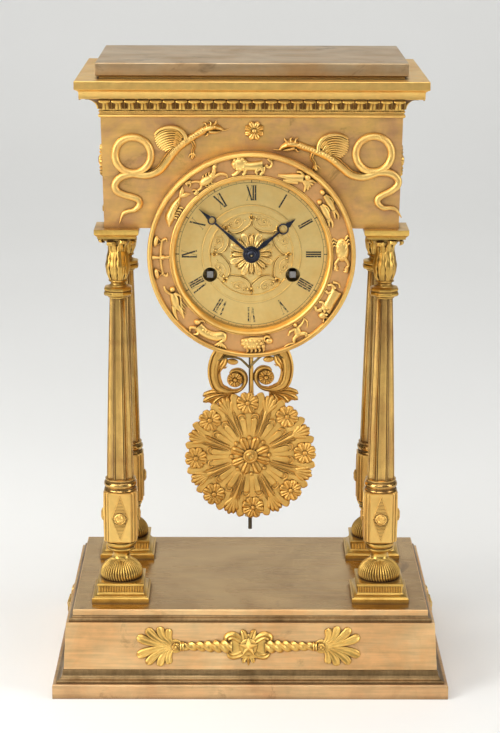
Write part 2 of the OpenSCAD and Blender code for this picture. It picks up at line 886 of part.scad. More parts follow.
// Suspension spring, its hook and the rod down to the threaded tip
module pendulum_rod() {
    color(steel) {
        translate([-0.15, rod_y - 2.2, pivot_z - 13]) cube([0.3, 4.4, 16]);
        translate([-1.5, rod_y - 2.4, pivot_z - 17]) cube([3, 4.8, 5]);
        translate([0, rod_y, bob_z - bob_r - 8.4])
        cylinder(h = pivot_z - 14 - bob_z + bob_r + 8.4, r = rod_r);
    }
}

// Two leafy scrolls either side of the rod, on a collar
module pendulum_crest() {
    color(gilt) {
        facing(0, rod_y - rod_r - 0.1, bob_z + 50) {
            linear_extrude(3.2)
            for (s = [0, 1]) mirror([s, 0]) {
                translate([11, 1]) circle(6);
                difference() {
                    translate([13, 3]) circle(20);
                    translate([11, 4]) circle(12.5);
                    translate([-20, -30]) square([20.6, 70]);
                    translate([-6, 8]) rotate(-20) square([22, 30]);
                }
                polygon([[2, -13], [16, -16], [33, -22], [35, -13], [30, -5], [18, -8]]);
                polygon([[10, -9], [12, -9], [9, 0], [7, 0]]);
            }
            translate([-1.6, -18, 0]) cube([3.2, 36, 2]);
            translate([-5, 17, 0]) cube([10, 4, 2.6]);
        }
        difference() {
            translate([-3, rod_y - rod_r - 0.6, bob_z + 66]) cube([6, 4.4, 5]);
            translate([0, rod_y, bob_z + 60]) cylinder(h = 20, r = rod_r);
        }
    }
}

module pendulum_bob() {
    front = rod_y - rod_r - 4.4;
    color(gilt) {
        facing(0, front, bob_z) {
            cylinder(h = 1.6, r = bob_r - 2.6);
            linear_extrude(3.2) for (i = [0:7]) rotate(i * 45 + 2) {
                translate([bob_r - 8.6, 0]) circle(8.4);
                rotate(22.5) polygon([[10, -2], [bob_r - 1, -5], [bob_r, 0],
                                      [bob_r - 1, 5], [10, 2]]);
            }
            cylinder(h = 4.6, r = 14);
            cylinder(h = 6.2, r = 8);
        }
        for (dz = [-bob_r + 9, bob_r - 23])
            difference() {
                translate([-4, front - 0.5, bob_z + dz - 3]) cube([8, 9.2, 6]);
                translate([0, rod_y, bob_z + dz - 4]) cylinder(h = 8, r = rod_r + run);
            }
    }
}

module rating_nut() {
    color(brass)
    difference() {
        translate([0, rod_y, nut_z - 2.6])
        cylinder(h = 5, r = 3.6);
        translate([0, rod_y, nut_z - 5]) cylinder(h = 10, r = rod_r + run);
    }
}

// ---- Rear door ----------------------------------------------------------

module back_door() {
    color(brass)
    difference() {
        union() {
            turned(centre, ring_y + 0.6, door_y - 0.1, 49.6);
            turned(centre, door_y - 0.2, door_y + 0.8, 42, 38);
            translate([hinge_x, door_y + 0.2, zc - 3.4]) cube([10, 0.9, 6.8]);
            translate([-49, door_y - 0.4, zc - 3.4]) cube([4.5, 1.2, 6.8]);
            translate([hinge_x, hinge_y, zc - 3.4]) cylinder(h = 6.8, r = 1.5);
            turned([43, 0], door_y - 0.2, door_y + 4, 2.2);
            turned([43, 0], door_y + 3.8, door_y + 6, 3.6);
        }
        translate([hinge_x, hinge_y, zc - 10]) cylinder(h = 20, r = 0.65 + run);
    }
}

module door_pin() {
    color(steel)
    translate([hinge_x, hinge_y, zc - 9]) {
        cylinder(h = 18, r = 0.65);
        translate([0, 0, 17.6]) cylinder(h = 1.2, r = 1.3);
    }
}

base_plinth();
base_block();
base_deck();
base_board();
base_front_mount();
base_side_mount_left();
base_side_mount_right();
pedestal_fl();
pedestal_fr();
pedestal_rl();
pedestal_rr();
shaft_fl();
shaft_fr();
shaft_rl();
shaft_rr();
capital_fl();
capital_fr();
capital_rl();
capital_rr();
frieze_box();
cornice();
top_slab();
frieze_rosette();
serpent_left();
serpent_right();
frieze_wreath_left();
frieze_wreath_right();
drum_case();
bezel();
zodiac_reliefs();
dial();
minute_hand();
hour_hand();
hand_collet();
front_plate();
back_plate();
going_barrel();
strike_barrel();
going_arbor();
strike_arbor();
intermediate_wheel();
centre_wheel();
third_wheel();
escape_wheel();
pallets();
cannon_pinion();
minute_wheel();
hour_wheel();
pin_wheel();
fly();
hammer();
bell();
suspension_cock();
pendulum_rod();
pendulum_crest();
pendulum_bob();
rating_nut();
back_door();
door_pin();
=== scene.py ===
"""Portico mantel clock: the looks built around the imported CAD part."""

import math

import bmesh
import bpy
from mathutils import Matrix, Vector


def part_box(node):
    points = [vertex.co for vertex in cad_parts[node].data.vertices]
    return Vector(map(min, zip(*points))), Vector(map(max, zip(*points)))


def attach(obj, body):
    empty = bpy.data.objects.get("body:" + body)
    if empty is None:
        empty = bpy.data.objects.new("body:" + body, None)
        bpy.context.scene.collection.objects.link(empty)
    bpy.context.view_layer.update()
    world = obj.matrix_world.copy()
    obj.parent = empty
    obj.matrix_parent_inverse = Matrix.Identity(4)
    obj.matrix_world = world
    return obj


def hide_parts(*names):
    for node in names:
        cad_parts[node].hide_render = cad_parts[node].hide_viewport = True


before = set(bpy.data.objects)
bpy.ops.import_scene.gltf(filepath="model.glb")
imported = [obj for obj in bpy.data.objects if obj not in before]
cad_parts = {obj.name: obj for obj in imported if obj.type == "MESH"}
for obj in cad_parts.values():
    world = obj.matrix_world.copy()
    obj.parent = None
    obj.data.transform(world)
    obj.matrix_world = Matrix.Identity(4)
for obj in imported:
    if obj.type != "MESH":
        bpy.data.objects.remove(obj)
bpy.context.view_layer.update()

MM = 0.001
TAU = 2 * math.pi


# ---- Small maths ----------------------------------------------------------


def rad(degrees):
    return math.radians(degrees)


def mix(a, b, t):
    """The value a share t of the way from a to b."""
    return a + (b - a) * t


def steps(n, a=0.0, b=1.0):
    """n + 1 even values from a to b."""
    return [a + (b - a) * i / n for i in range(n + 1)]


def along(table, t):
    """A value read from [(t, value), ...] with smooth joins."""
    if t <= table[0][0]:
        return table[0][1]
    for (t0, a), (t1, b) in zip(table, table[1:]):
        if t <= t1:
            s = (t - t0) / (t1 - t0)
            return a + (b - a) * s * s * (3 - 2 * s)
    return table[-1][1]


def even(*values):
    """A table for along() with the values evenly spaced."""
    return [(i / (len(values) - 1), value) for i, value in enumerate(values)]


def spline(points, per):
    """A smooth path through 2-D or 3-D points, with per steps between two of them."""
    if len(points) == 2:
        a, b = points
        return [tuple(mix(p, q, t) for p, q in zip(a, b)) for t in steps(per)]
    ends = [points[0], *points, points[-1]]
    path = []
    for i in range(len(points) - 1):
        p0, p1, p2, p3 = ends[i : i + 4]
        for k in range(per):
            t = k / per
            path.append(tuple(
                0.5 * (2 * b + (c - a) * t + (2 * a - 5 * b + 4 * c - d) * t * t + (3 * b - a - 3 * c + d) * t**3)
                for a, b, c, d in zip(p0, p1, p2, p3)
            ))
    path.append(tuple(points[-1]))
    return path


def ring_points(r, n):
    """n points round a circle of radius r."""
    return [(r * math.cos(TAU * i / n), r * math.sin(TAU * i / n)) for i in range(n)]


def spiral(x, y, rx, ry, angles, ends):
    """Points of a curl about (x, y) whose radii shrink to nothing at the angle ends."""
    return [(x + rx * math.cos(a) * (1 - a / ends), y + ry * math.sin(a) * (1 - a / ends)) for a in angles]


# ---- Shapes: vertices and faces in millimetres ----------------------------


class Shape:
    """Closed shells gathered into one piece."""

    def __init__(self):
        self.verts = []
        self.faces = []

    def add(self, other, matrix=None):
        """Takes in another shape, or (verts, faces), moved by matrix."""
        verts, faces = (other.verts, other.faces) if isinstance(other, Shape) else other
        base = len(self.verts)
        if matrix is None:
            self.verts += [tuple(v) for v in verts]
        else:
            self.verts += [tuple(matrix @ Vector(v)) for v in verts]
        self.faces += [tuple(i + base for i in f) for f in faces]
        return self

    def around(self, other, n, before=None):
        """n copies turned about Z, each first moved by before."""
        for i in range(n):
            copy_turn = Matrix.Rotation(TAU * i / n, 4, "Z")
            self.add(other, copy_turn @ before if before is not None else copy_turn)
        return self


def at(x=0.0, y=0.0, z=0.0):
    return Matrix.Translation((x, y, z))


def turn(degrees, axis="Z"):
    return Matrix.Rotation(rad(degrees), 4, axis)


def stretch(x=1.0, y=1.0, z=1.0):
    return Matrix.Diagonal((x, y, z, 1))


def facing(x, y, z):
    """Local X right, local Y up and local Z towards the viewer at -Y."""
    return at(x, y, z) @ turn(90, "X")


def sideways(side, x, y, z):
    """The same for a face of the clock at +X (side 1) or -X (side -1)."""
    return at(x, y, z) @ turn(90 * side, "Z") @ turn(90, "X")


def loft(rings, loop=False):
    """Skins rings of equal length; a loop joins the last ring to the first."""
    n = len(rings[0])
    verts = [p for ring in rings for p in ring]
    faces = []
    count = len(rings)
    for i in range(count if loop else count - 1):
        a, b = i * n, (i + 1) % count * n
        faces += [(a + k, a + (k + 1) % n, b + (k + 1) % n, b + k) for k in range(n)]
    if not loop:
        faces.append(tuple(reversed(range(n))))
        faces.append(tuple(range((count - 1) * n, count * n)))
    return verts, faces


def lathe(profile, n, loop=False, wave=None):
    """Turns [(r, z), ...] about Z. wave(angle, r, z) may change the radius."""
    rings = []
    for r, z in profile:
        ring = []
        for i in range(n):
            a = TAU * i / n
            rr = wave(a, r, z) if wave else r
            ring.append((rr * math.cos(a), rr * math.sin(a), z))
        rings.append(ring)
    return loft(rings, loop)


def raised(base, *points):
    """Profile points (x, height) whose heights are given above base."""
    return [(x, base + height) for x, height in points]


def mitred(hx, hy, profile, loop=False):
    """A rectangular moulding from [(offset, z), ...]."""
    rings = []
    for o, z in profile:
        x, y = hx + o, hy + o
        rings.append([(-x, -y, z), (x, -y, z), (x, y, z), (-x, y, z)])
    return loft(rings, loop)


def prism(outline, z0, z1, bevel=0.0):
    """A flat plate of that outline whose top edge is eased by bevel."""
    n = len(outline)
    area = sum(outline[i - 1][0] * outline[i][1] - outline[i][0] * outline[i - 1][1] for i in range(n))
    pts = outline if area > 0 else list(reversed(outline))
    rings = [[(x, y, z0) for x, y in pts]]
    if bevel > 0:
        rings.append([(x, y, z1 - bevel) for x, y in pts])
        inner = []
        for i in range(n):
            (ax, ay), (bx, by), (cx, cy) = pts[i - 1], pts[i], pts[(i + 1) % n]
            n1 = Vector((by - ay, ax - bx)).normalized()
            n2 = Vector((cy - by, bx - cx)).normalized()
            m = n1 + n2
            m = m / max(0.6, m.length_squared / 2) if m.length > 1e-6 else n1
            inner.append((bx - m.x * bevel, by - m.y * bevel, z1))
        rings.append(inner)
    else:
        rings.append([(x, y, z1) for x, y in pts])
    return loft(rings)


# The height of a form across its width, v from -1 to 1.
SECTIONS = {
    "round": lambda v: math.sqrt(max(0.0, 1 - v * v)),
    "soft": lambda v: max(0.0, 1 - v * v),
    "ridge": lambda v: (1 - abs(v)) ** 0.8,
    "groove": lambda v: math.sqrt(max(0.0, 1 - v * v)) * (1 - 0.5 * math.exp(-((v / 0.42) ** 2))),
    "vein": lambda v: math.sqrt(max(0.0, 1 - v * v)) * (1 - 0.45 * math.exp(-((v / 0.16) ** 2))),
    "dish": lambda v: math.sqrt(max(0.0, 1 - v**4)) * (0.72 + 0.28 * v * v),
}


def blade(path, width, height, section, z=0.0, lift=None, across=8):
    """A raised form along a flat path: width and height are tables of t."""
    rings = []
    last = len(path) - 1
    shape = SECTIONS[section]
    for i, p in enumerate(path):
        t = i / last
        a, b = path[max(0, i - 1)], path[min(last, i + 1)]
        d = Vector((b[0] - a[0], b[1] - a[1])).normalized()
        w, h = along(width, t), along(height, t)
        up = z + (along(lift, t) if lift else 0.0)
        ring = []
        for k in range(across + 1):
            v = -math.cos(math.pi * k / across)
            ring.append((p[0] - d.y * w * v, p[1] + d.x * w * v, up + h * shape(v)))
        ring.append((p[0] - d.y * w * 0.9, p[1] + d.x * w * 0.9, z - 0.3))
        ring.append((p[0] + d.y * w * 0.9, p[1] - d.x * w * 0.9, z - 0.3))
        rings.append(ring)
    return loft(rings)


def tube(path, radius, n, lobes=0, depth=0.0, twist=0.0, flat=1.0):
    """A round bar along a 3-D path, or a twisted one with lobes; radius is a table."""
    pts = [Vector(p) for p in path]
    last = len(pts) - 1
    normal = None
    rings = []
    for i, p in enumerate(pts):
        t = i / last
        d = (pts[min(last, i + 1)] - pts[max(0, i - 1)]).normalized()
        if normal is None:
            normal = d.orthogonal().normalized() if abs(d.z) > 0.9 else d.cross(Vector((0, 0, 1))).normalized()
        normal = (normal - d * normal.dot(d)).normalized()
        side = d.cross(normal)
        r = along(radius, t)
        ring = []
        for k in range(n):
            a = TAU * k / n
            rr = r * (1 + depth * math.cos(lobes * a + twist * t)) if lobes else r
            q = p + normal * math.cos(a) * rr + side * math.sin(a) * rr * flat
            ring.append(tuple(q))
        rings.append(ring)
    return loft(rings)


def ball(rx, ry, rz, n=14, m=8):
    """An ellipsoid about the origin."""
    verts = [(0, 0, -rz)]
    for j in range(1, m):
        b = -math.pi / 2 + math.pi * j / m
        for i in range(n):
            a = TAU * i / n
            verts.append((rx * math.cos(a) * math.cos(b), ry * math.sin(a) * math.cos(b), rz * math.sin(b)))
    verts.append((0, 0, rz))
    faces = [(0, 1 + (i + 1) % n, 1 + i) for i in range(n)]
    for j in range(m - 2):
        a, b = 1 + j * n, 1 + (j + 1) * n
        faces += [(a + i, a + (i + 1) % n, b + (i + 1) % n, b + i) for i in range(n)]
    top = len(verts) - 1
    faces += [(top, top - n + i, top - n + (i + 1) % n) for i in range(n)]
    return verts, faces


def star(outer, inner, height, z):
    """A faceted five-pointed star that rises to a point in its middle."""
    rim = []
    for i in range(10):
        r = outer if i % 2 == 0 else inner
        a = rad(90) + math.pi * i / 5
        rim.append((r * math.cos(a), r * math.sin(a)))
    n = len(rim)
    verts = [(x, y, z) for x, y in rim] + [(x, y, z + height * 0.35) for x, y in rim] + [(0, 0, z + height)]
    faces = [tuple(reversed(range(n)))]
    faces += [(i, (i + 1) % n, n + (i + 1) % n, n + i) for i in range(n)]
    faces += [(n + i, n + (i + 1) % n, 2 * n) for i in range(n)]
    return verts, faces


def torus(r, thick, n, m, z=0.0):
    """A ring in the XY plane."""
    rings = []
    for a in (TAU * i / n for i in range(n)):
        section = [(r + thick * math.cos(TAU * k / m), thick * math.sin(TAU * k / m)) for k in range(m)]
        rings.append([(out * math.cos(a), out * math.sin(a), z + up) for out, up in section])
    return loft(rings, loop=True)


def petal(r0, r1, half, height, section="vein", z=0.0, points=9):
    """A pointed petal from radius r0 to r1 along +X."""
    path = [(mix(r0, r1, t), 0.0) for t in steps(points)]
    width = [(0, half * 0.35), (0.35, half * 0.8), (0.7, half), (0.9, half * 0.72), (1, half * 0.12)]
    rise = [(0, height * 0.6), (0.4, height), (0.8, height * 0.85), (1, height * 0.15)]
    return blade(path, width, rise, section, z)


# ---- Materials ------------------------------------------------------------


class Nodes:
    """Short names for building a node tree."""

    def __init__(self, name):
        self.material = bpy.data.materials.new(name)
        self.material.use_nodes = True
        self.tree = self.material.node_tree
        self.tree.nodes.clear()
        out = self.tree.nodes.new("ShaderNodeOutputMaterial")
        self.bsdf = self.tree.nodes.new("ShaderNodeBsdfPrincipled")
        self.link(self.bsdf.outputs[0], out.inputs[0])
        self.place = self.tree.nodes.new("ShaderNodeTexCoord").outputs["Object"]

    def link(self, a, b):
        self.tree.links.new(a, b)

    def noise(self, scale, detail=4.0, rough=0.55, stretch_by=(1, 1, 1), distort=0.0):
        mapping = self.tree.nodes.new("ShaderNodeMapping")
        mapping.inputs["Scale"].default_value = stretch_by
        self.link(self.place, mapping.inputs["Vector"])
        node = self.tree.nodes.new("ShaderNodeTexNoise")
        node.inputs["Scale"].default_value = scale
        node.inputs["Detail"].default_value = detail
        node.inputs["Roughness"].default_value = rough
        node.inputs["Distortion"].default_value = distort
        self.link(mapping.outputs[0], node.inputs["Vector"])
        return node.outputs["Fac"]

    def ramp(self, value, *stops):
        """stops are (position, grey or colour)."""
        node = self.tree.nodes.new("ShaderNodeValToRGB")
        ramp = node.color_ramp
        while len(ramp.elements) < len(stops):
            ramp.elements.new(0.5)
        for element, (where, colour) in zip(ramp.elements, stops):
            element.position = where
            element.color = (*colour, 1) if isinstance(colour, tuple) else (colour, colour, colour, 1)
        self.link(value, node.inputs[0])
        return node.outputs[0]

    def blend(self, fac, a, b, mode="MIX"):
        node = self.tree.nodes.new("ShaderNodeMix")
        node.data_type = "RGBA"
        node.blend_type = mode
        for socket, value in zip((node.inputs[0], node.inputs[6], node.inputs[7]), (fac, a, b)):
            if isinstance(value, bpy.types.NodeSocket):
                self.link(value, socket)
            elif isinstance(value, tuple):
                socket.default_value = (*value, 1)
            else:
                socket.default_value = value
        return node.outputs[2]

    def maths(self, operation, a, b):
        node = self.tree.nodes.new("ShaderNodeMath")
        node.operation = operation
        for socket, value in zip(node.inputs, (a, b)):
            if isinstance(value, bpy.types.NodeSocket):
                self.link(value, socket)
            else:
                socket.default_value = value
        return node.outputs[0]

    def crevice_shade(self, distance, low, high):
        """1 in open metal, 0 deep in crevices: the ambient occlusion mask for patina and painted shade."""
        node = self.tree.nodes.new("ShaderNodeAmbientOcclusion")
        node.samples = 8
        node.inputs["Distance"].default_value = distance
        return self.ramp(node.outputs["AO"], (low, 0.0), (high, 1.0))

    def bump(self, height, strength, distance, below=None):
        node = self.tree.nodes.new("ShaderNodeBump")
        node.inputs["Strength"].default_value = strength
        node.inputs["Distance"].default_value = distance
        self.link(height, node.inputs["Height"])
        if below is not None:
            self.link(below, node.inputs["Normal"])
        return node.outputs[0]


# Dark brown for stains and for darkened crevices: partly patina, partly painted shade.
PATINA_AND_SHADE = (0.10, 0.045, 0.012)


def metal(
    name,
    bright,
    worn,
    patina_and_shade,
    rough,
    wear_scale=30.0,
    wear=(0.44, 0.64),
    grain=(1, 1, 1),
    grain_scale=240.0,
    grain_depth=0.2,
    crevice_shade=(0.003, 0.35, 0.85),
    mottle=0.2,
    dents=0.15,
    stains=0.0,
    metallic=True,
):
    """Old gilt or plain metal: bright and worn areas, grain, and crevices darkened as patina and painted shade.

    rough is the lowest and highest roughness, wear the two ends of the noise
    that turns bright into worn, grain the stretch of the fine streaks, and
    crevice_shade the reach in metres and the two ends of the ramp that darkens
    crevices, partly as patina and partly as painted shade.
    """
    n = Nodes(name)
    patches = n.noise(wear_scale, 5, 0.6, distort=0.7)
    clouds = n.noise(wear_scale * 4.1, 4, 0.6)
    streaks = n.noise(grain_scale, 4, 0.62, grain)
    wear_mask = n.ramp(n.blend(0.35, patches, clouds), (wear[0], 0.0), (wear[1], 1.0))
    colour = n.blend(wear_mask, bright, worn)
    shade = n.ramp(n.blend(0.5, clouds, streaks), (0.34, 1 - mottle), (0.6, 1.0))
    colour = n.blend(1.0, colour, shade, "MULTIPLY")
    if stains:
        spots = n.ramp(n.noise(wear_scale * 1.7, 6, 0.7, distort=1.2), (0.60, 0.0), (0.72, stains))
        colour = n.blend(spots, colour, patina_and_shade)
    # Ambient occlusion darkens crevices towards the patina colour: partly real patina, partly painted shade.
    open_unshaded = n.crevice_shade(*crevice_shade)
    colour = n.blend(open_unshaded, patina_and_shade, colour)
    n.link(colour, n.bsdf.inputs["Base Color"])
    if metallic:
        n.link(n.ramp(open_unshaded, (0, 0.5), (1, 1.0)), n.bsdf.inputs["Metallic"])
    low, high = rough
    rough_base = n.ramp(n.blend(0.4, patches, streaks), (0.36, low), (0.64, high))
    n.link(n.blend(open_unshaded, (0.7, 0.7, 0.7), rough_base), n.bsdf.inputs["Roughness"])
    fine = n.bump(streaks, grain_depth, 0.0001)
    n.link(n.bump(clouds, dents, 0.0004, fine), n.bsdf.inputs["Normal"])
    return n.material


burnished = metal("gilt_burnished", (0.92, 0.59, 0.16), (0.78, 0.44, 0.12), PATINA_AND_SHADE, (0.27, 0.40), mottle=0.2,
                  crevice_shade=(0.003, 0.3, 0.8))
satin = metal("gilt_satin", (0.93, 0.60, 0.18), (0.82, 0.48, 0.14), PATINA_AND_SHADE, (0.34, 0.46), mottle=0.14,
              crevice_shade=(0.003, 0.3, 0.8), grain_depth=0.12)
darker_gilt = metal("gilt_darker", (0.80, 0.51, 0.13), (0.58, 0.34, 0.08), PATINA_AND_SHADE, (0.26, 0.38), 40.0, mottle=0.22,
             crevice_shade=(0.003, 0.38, 0.92))
fluted = metal(
    "gilt_fluted", (0.74, 0.46, 0.14), (0.46, 0.25, 0.08), PATINA_AND_SHADE, (0.15, 0.3), 26.0,
    grain=(1, 1, 0.10), grain_scale=460.0, crevice_shade=(0.003, 0.4, 0.92), mottle=0.4, dents=0.08, stains=0.3,
)
# A dark gilt with streaks and stain spots, used on the coves of the base.
dark_cove_gilt = metal(
    "gilt_dark_cove", (0.40, 0.26, 0.12), (0.17, 0.10, 0.04), (0.05, 0.025, 0.01), (0.3, 0.46), 22.0,
    grain=(1, 1, 0.15), grain_scale=420.0, grain_depth=0.35, mottle=0.4, stains=0.4,
)
matte = metal(
    "gilt_matte", (0.98, 0.60, 0.19), (0.66, 0.37, 0.17), PATINA_AND_SHADE, (0.38, 0.52), 24.0, (0.42, 0.60),
    grain=(0.25, 1, 1), grain_scale=160.0, grain_depth=0.25, crevice_shade=(0.006, 0.2, 0.8), mottle=0.26, stains=0.4,
)
pale = metal(
    "gilt_pale_brushed", (0.97, 0.66, 0.33), (0.85, 0.50, 0.22), PATINA_AND_SHADE, (0.32, 0.46), 16.0, (0.42, 0.60),
    grain=(0.06, 1, 1), grain_scale=420.0, grain_depth=0.35, crevice_shade=(0.006, 0.25, 0.8), mottle=0.34, stains=0.4,
)
plinth_metal = metal(
    "gilt_plinth", (0.86, 0.57, 0.29), (0.66, 0.38, 0.18), PATINA_AND_SHADE, (0.32, 0.46), 22.0, (0.40, 0.62),
    grain=(0.06, 1, 1), grain_scale=420.0, grain_depth=0.35, crevice_shade=(0.006, 0.25, 0.8), mottle=0.36, stains=0.5,
)
deck_metal = metal(
    "gilt_deck", (0.60, 0.385, 0.155), (0.40, 0.235, 0.085), (0.12, 0.06, 0.02), (0.2, 0.34), 9.0,
    wear=(0.42, 0.62), grain=(0.08, 1, 1), grain_scale=240.0, grain_depth=0.25, crevice_shade=(0.006, 0.2, 0.8), mottle=0.2,
    stains=0.5,
)
chased = metal("gilt_chased", (0.96, 0.65, 0.21), (0.86, 0.53, 0.17), PATINA_AND_SHADE, (0.36, 0.50), 60.0, mottle=0.18,
               crevice_shade=(0.0016, 0.3, 0.75))
ochre = metal("gilt_pendulum", (0.88, 0.54, 0.15), (0.76, 0.44, 0.11), PATINA_AND_SHADE, (0.38, 0.52), 60.0, mottle=0.18,
              crevice_shade=(0.0016, 0.28, 0.78))
mount_metal = metal("gilt_mount", (0.92, 0.60, 0.17), (0.80, 0.47, 0.12), PATINA_AND_SHADE, (0.28, 0.40), 60.0, mottle=0.2,
                    crevice_shade=(0.0035, 0.42, 0.92))
dial_metal = metal(
    "gilt_dial", (0.94, 0.69, 0.27), (0.86, 0.58, 0.20), (0.14, 0.08, 0.02), (0.32, 0.42), 30.0,
    grain_scale=500.0, grain_depth=0.12, crevice_shade=(0.0010, 0.3, 0.8), mottle=0.08, dents=0.06,
)
slab_metal = metal(
    "gilt_slab", (0.68, 0.51, 0.31), (0.50, 0.32, 0.155), PATINA_AND_SHADE, (0.36, 0.5), 20.0, (0.42, 0.62),
    grain=(0.08, 1, 1), grain_scale=300.0, grain_depth=0.3, crevice_shade=(0.006, 0.25, 0.85), mottle=0.28, stains=0.5,
)
copper = metal(
    "gilt_bezel_field", (0.84, 0.47, 0.19), (0.70, 0.38, 0.15), PATINA_AND_SHADE, (0.4, 0.52), 26.0,
    crevice_shade=(0.003, 0.25, 0.78), mottle=0.18,
)
# Near-black gilt for the sheet laid in the cornice cove: painted shade behind the leaves.
painted_cove_shade = metal("gilt_painted_cove_shade", (0.24, 0.12, 0.035), (0.14, 0.07, 0.02), PATINA_AND_SHADE, (0.4, 0.55), 60.0)
bronze = metal("bronze_dark", (0.34, 0.25, 0.10), (0.20, 0.15, 0.07), (0.05, 0.03, 0.01), (0.3, 0.45), 90.0)
movement_brass = metal(
    "brass_movement", (0.80, 0.62, 0.30), (0.62, 0.45, 0.22), (0.07, 0.05, 0.02), (0.26, 0.42), 50.0,
    grain=(1, 1, 8), grain_scale=300.0, mottle=0.2,
)
bell_metal = metal("bell_bronze", (0.74, 0.60, 0.40), (0.55, 0.42, 0.26), (0.06, 0.05, 0.03), (0.22, 0.36), 40.0)
steel = metal("steel_worn", (0.42, 0.41, 0.40), (0.26, 0.24, 0.22), (0.04, 0.03, 0.025), (0.28, 0.45), 90.0)
dark_steel = metal("steel_dark", (0.14, 0.12, 0.09), (0.09, 0.075, 0.05), (0.02, 0.015, 0.01), (0.3, 0.5), 90.0)
blued = metal("steel_blued", (0.05, 0.055, 0.075), (0.03, 0.03, 0.04), (0.01, 0.01, 0.01), (0.25, 0.4), 90.0)
board = metal(
    "board_dark", (0.10, 0.065, 0.04), (0.07, 0.045, 0.03), (0.02, 0.015, 0.01), (0.6, 0.75), 30.0,
    grain=(1, 14, 1), grain_scale=120.0, metallic=False,
)
ink_worn = metal("black_wax_worn", (0.10, 0.085, 0.05), (0.05, 0.04, 0.03), (0.02, 0.02, 0.01), (0.4, 0.55), 120.0)


def numeral_wax():
    """Black wax in the engraved hours, rubbed away most at the foot of the dial."""
    n = Nodes("black_wax")
    height = n.tree.nodes.new("ShaderNodeSeparateXYZ")
    n.link(n.place, height.inputs[0])
    low = n.ramp(height.outputs["Z"], (0.238, 0.13), (0.285, 0.0))
    gone = n.ramp(n.maths("ADD", n.noise(620.0, 3, 0.6), low), (0.58, 0.0), (0.66, 1.0))
    n.link(n.blend(gone, (0.013, 0.012, 0.010), (0.66, 0.47, 0.18)), n.bsdf.inputs["Base Color"])
    n.link(n.ramp(gone, (0, 0.0), (1, 0.9)), n.bsdf.inputs["Metallic"])
    n.link(n.ramp(n.noise(900.0), (0.3, 0.36), (0.7, 0.55)), n.bsdf.inputs["Roughness"])
    return n.material


ink = numeral_wax()


# ---- Pieces ---------------------------------------------------------------


def piece(name, shape, material, body="case", nodes=(), smooth=32.0, bevel=0.0):
    """Makes one visible piece of a shape and parents it to its body's empty.

    nodes are the CAD nodes that it stands for, smooth the angle in degrees
    above which an edge stays sharp, and bevel the width of eased edges in mm.
    """
    mesh = bpy.data.meshes.new(name)
    verts, faces = (shape.verts, shape.faces) if isinstance(shape, Shape) else shape
    mesh.from_pydata([(x * MM, y * MM, z * MM) for x, y, z in verts], [], faces)
    work = bmesh.new()
    work.from_mesh(mesh)
    bmesh.ops.dissolve_degenerate(work, dist=1e-7, edges=work.edges)
    bmesh.ops.recalc_face_normals(work, faces=work.faces)
    work.to_mesh(mesh)
    work.free()
    obj = bpy.data.objects.new(name, mesh)
    bpy.context.scene.collection.objects.link(obj)
    mesh.materials.append(material)
    mesh.shade_smooth()
    mesh.set_sharp_from_angle(angle=rad(smooth))
    if bevel:
        edge = obj.modifiers.new("eased", "BEVEL")
        edge.width = bevel * MM
        edge.segments = 2
        edge.limit_method = "ANGLE"
        edge.angle_limit = rad(30)
        edge.harden_normals = True
    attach(obj, body)
    if nodes:
        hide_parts(*nodes)


def keep(material, *nodes):
    """Gives CAD nodes that stay their finish."""
    for node in nodes:
        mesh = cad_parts[node].data
        mesh.materials.clear()
        mesh.materials.append(material)


def box(node):
    """Lowest and highest corner of a CAD node in millimetres."""
    low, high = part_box(node)
    return low / MM, high / MM


# ---- Base -----------------------------------------------------------------

plinth_high = box("base_plinth")[1]
block_low, block_high = box("base_block")
base_x, base_y = plinth_high.x, plinth_high.y
block_bottom, block_top, deck_top = block_low.z, block_high.z, box("base_deck")[1].z
block_in = base_x - block_high.x
block_slope = 1.9  # how far the block's sides lean in, in mm
deck_in = 13.0


def hollow(hx, hy, profile, inner):
    """A moulded frame, open in the middle."""
    low, high = profile[0][1], profile[-1][1]
    return mitred(hx, hy, [*profile, (-inner, high), (-inner, low)], loop=True)


def cove(x0, z0, x1, z1, n=6, round_out=False):
    """A quarter hollow, or quarter round, between two profile points."""
    pts = []
    for t in steps(n):
        a = t * math.pi / 2
        if round_out:
            pts.append((mix(x0, x1, 1 - math.cos(a)), mix(z0, z1, math.sin(a))))
        else:
            pts.append((mix(x0, x1, math.sin(a)), mix(z0, z1, 1 - math.cos(a))))
    return pts


piece(
    "base_plinth_moulding",
    hollow(base_x, base_y, [(0, 0), (0, 8.6), (-0.7, 9.5), (-2.6, 9.7)], 16),
    plinth_metal, nodes=["base_plinth"], bevel=0.3,
)
piece(
    "base_plinth_cove",
    hollow(base_x, base_y, [(-2.4, 9.6), (-2.4, 11.0), *cove(-3.0, 11.4, -6.2, 16.4), (-6.4, 17.2)], 15),
    dark_cove_gilt, bevel=0.3,
)
piece(
    "base_block_body",
    hollow(base_x, base_y, [(-block_in, block_bottom), (-block_in - block_slope, block_top)], 14),
    pale, nodes=["base_block"], bevel=0.35,
)
inset = deck_in + 0.6
piece(
    "base_deck_slab",
    mitred(base_x, base_y, [(-inset - 3, block_top), (-inset + 0.1, block_top + 0.4), (-inset + 0.1, deck_top - 0.02)]),
    deck_metal, nodes=["base_deck"],
)
deck_edge = [
    (-deck_in - 0.2, block_top + 3.5), (-deck_in, block_top + 3.7), (-deck_in, deck_top - 0.4),
    (-deck_in - 0.4, deck_top),
]
piece("base_deck_edge", hollow(base_x, base_y, deck_edge, inset), pale)
deck_cove = [(-13.6, -0.4), (-10.6, 0), (-10.6, 1.5), (-11.1, 2.1), *cove(-11.6, 2.3, -deck_in, 3.6, 4)]
piece("base_deck_cove", hollow(base_x, base_y, raised(block_top, *deck_cove), inset), dark_cove_gilt, bevel=0.2)


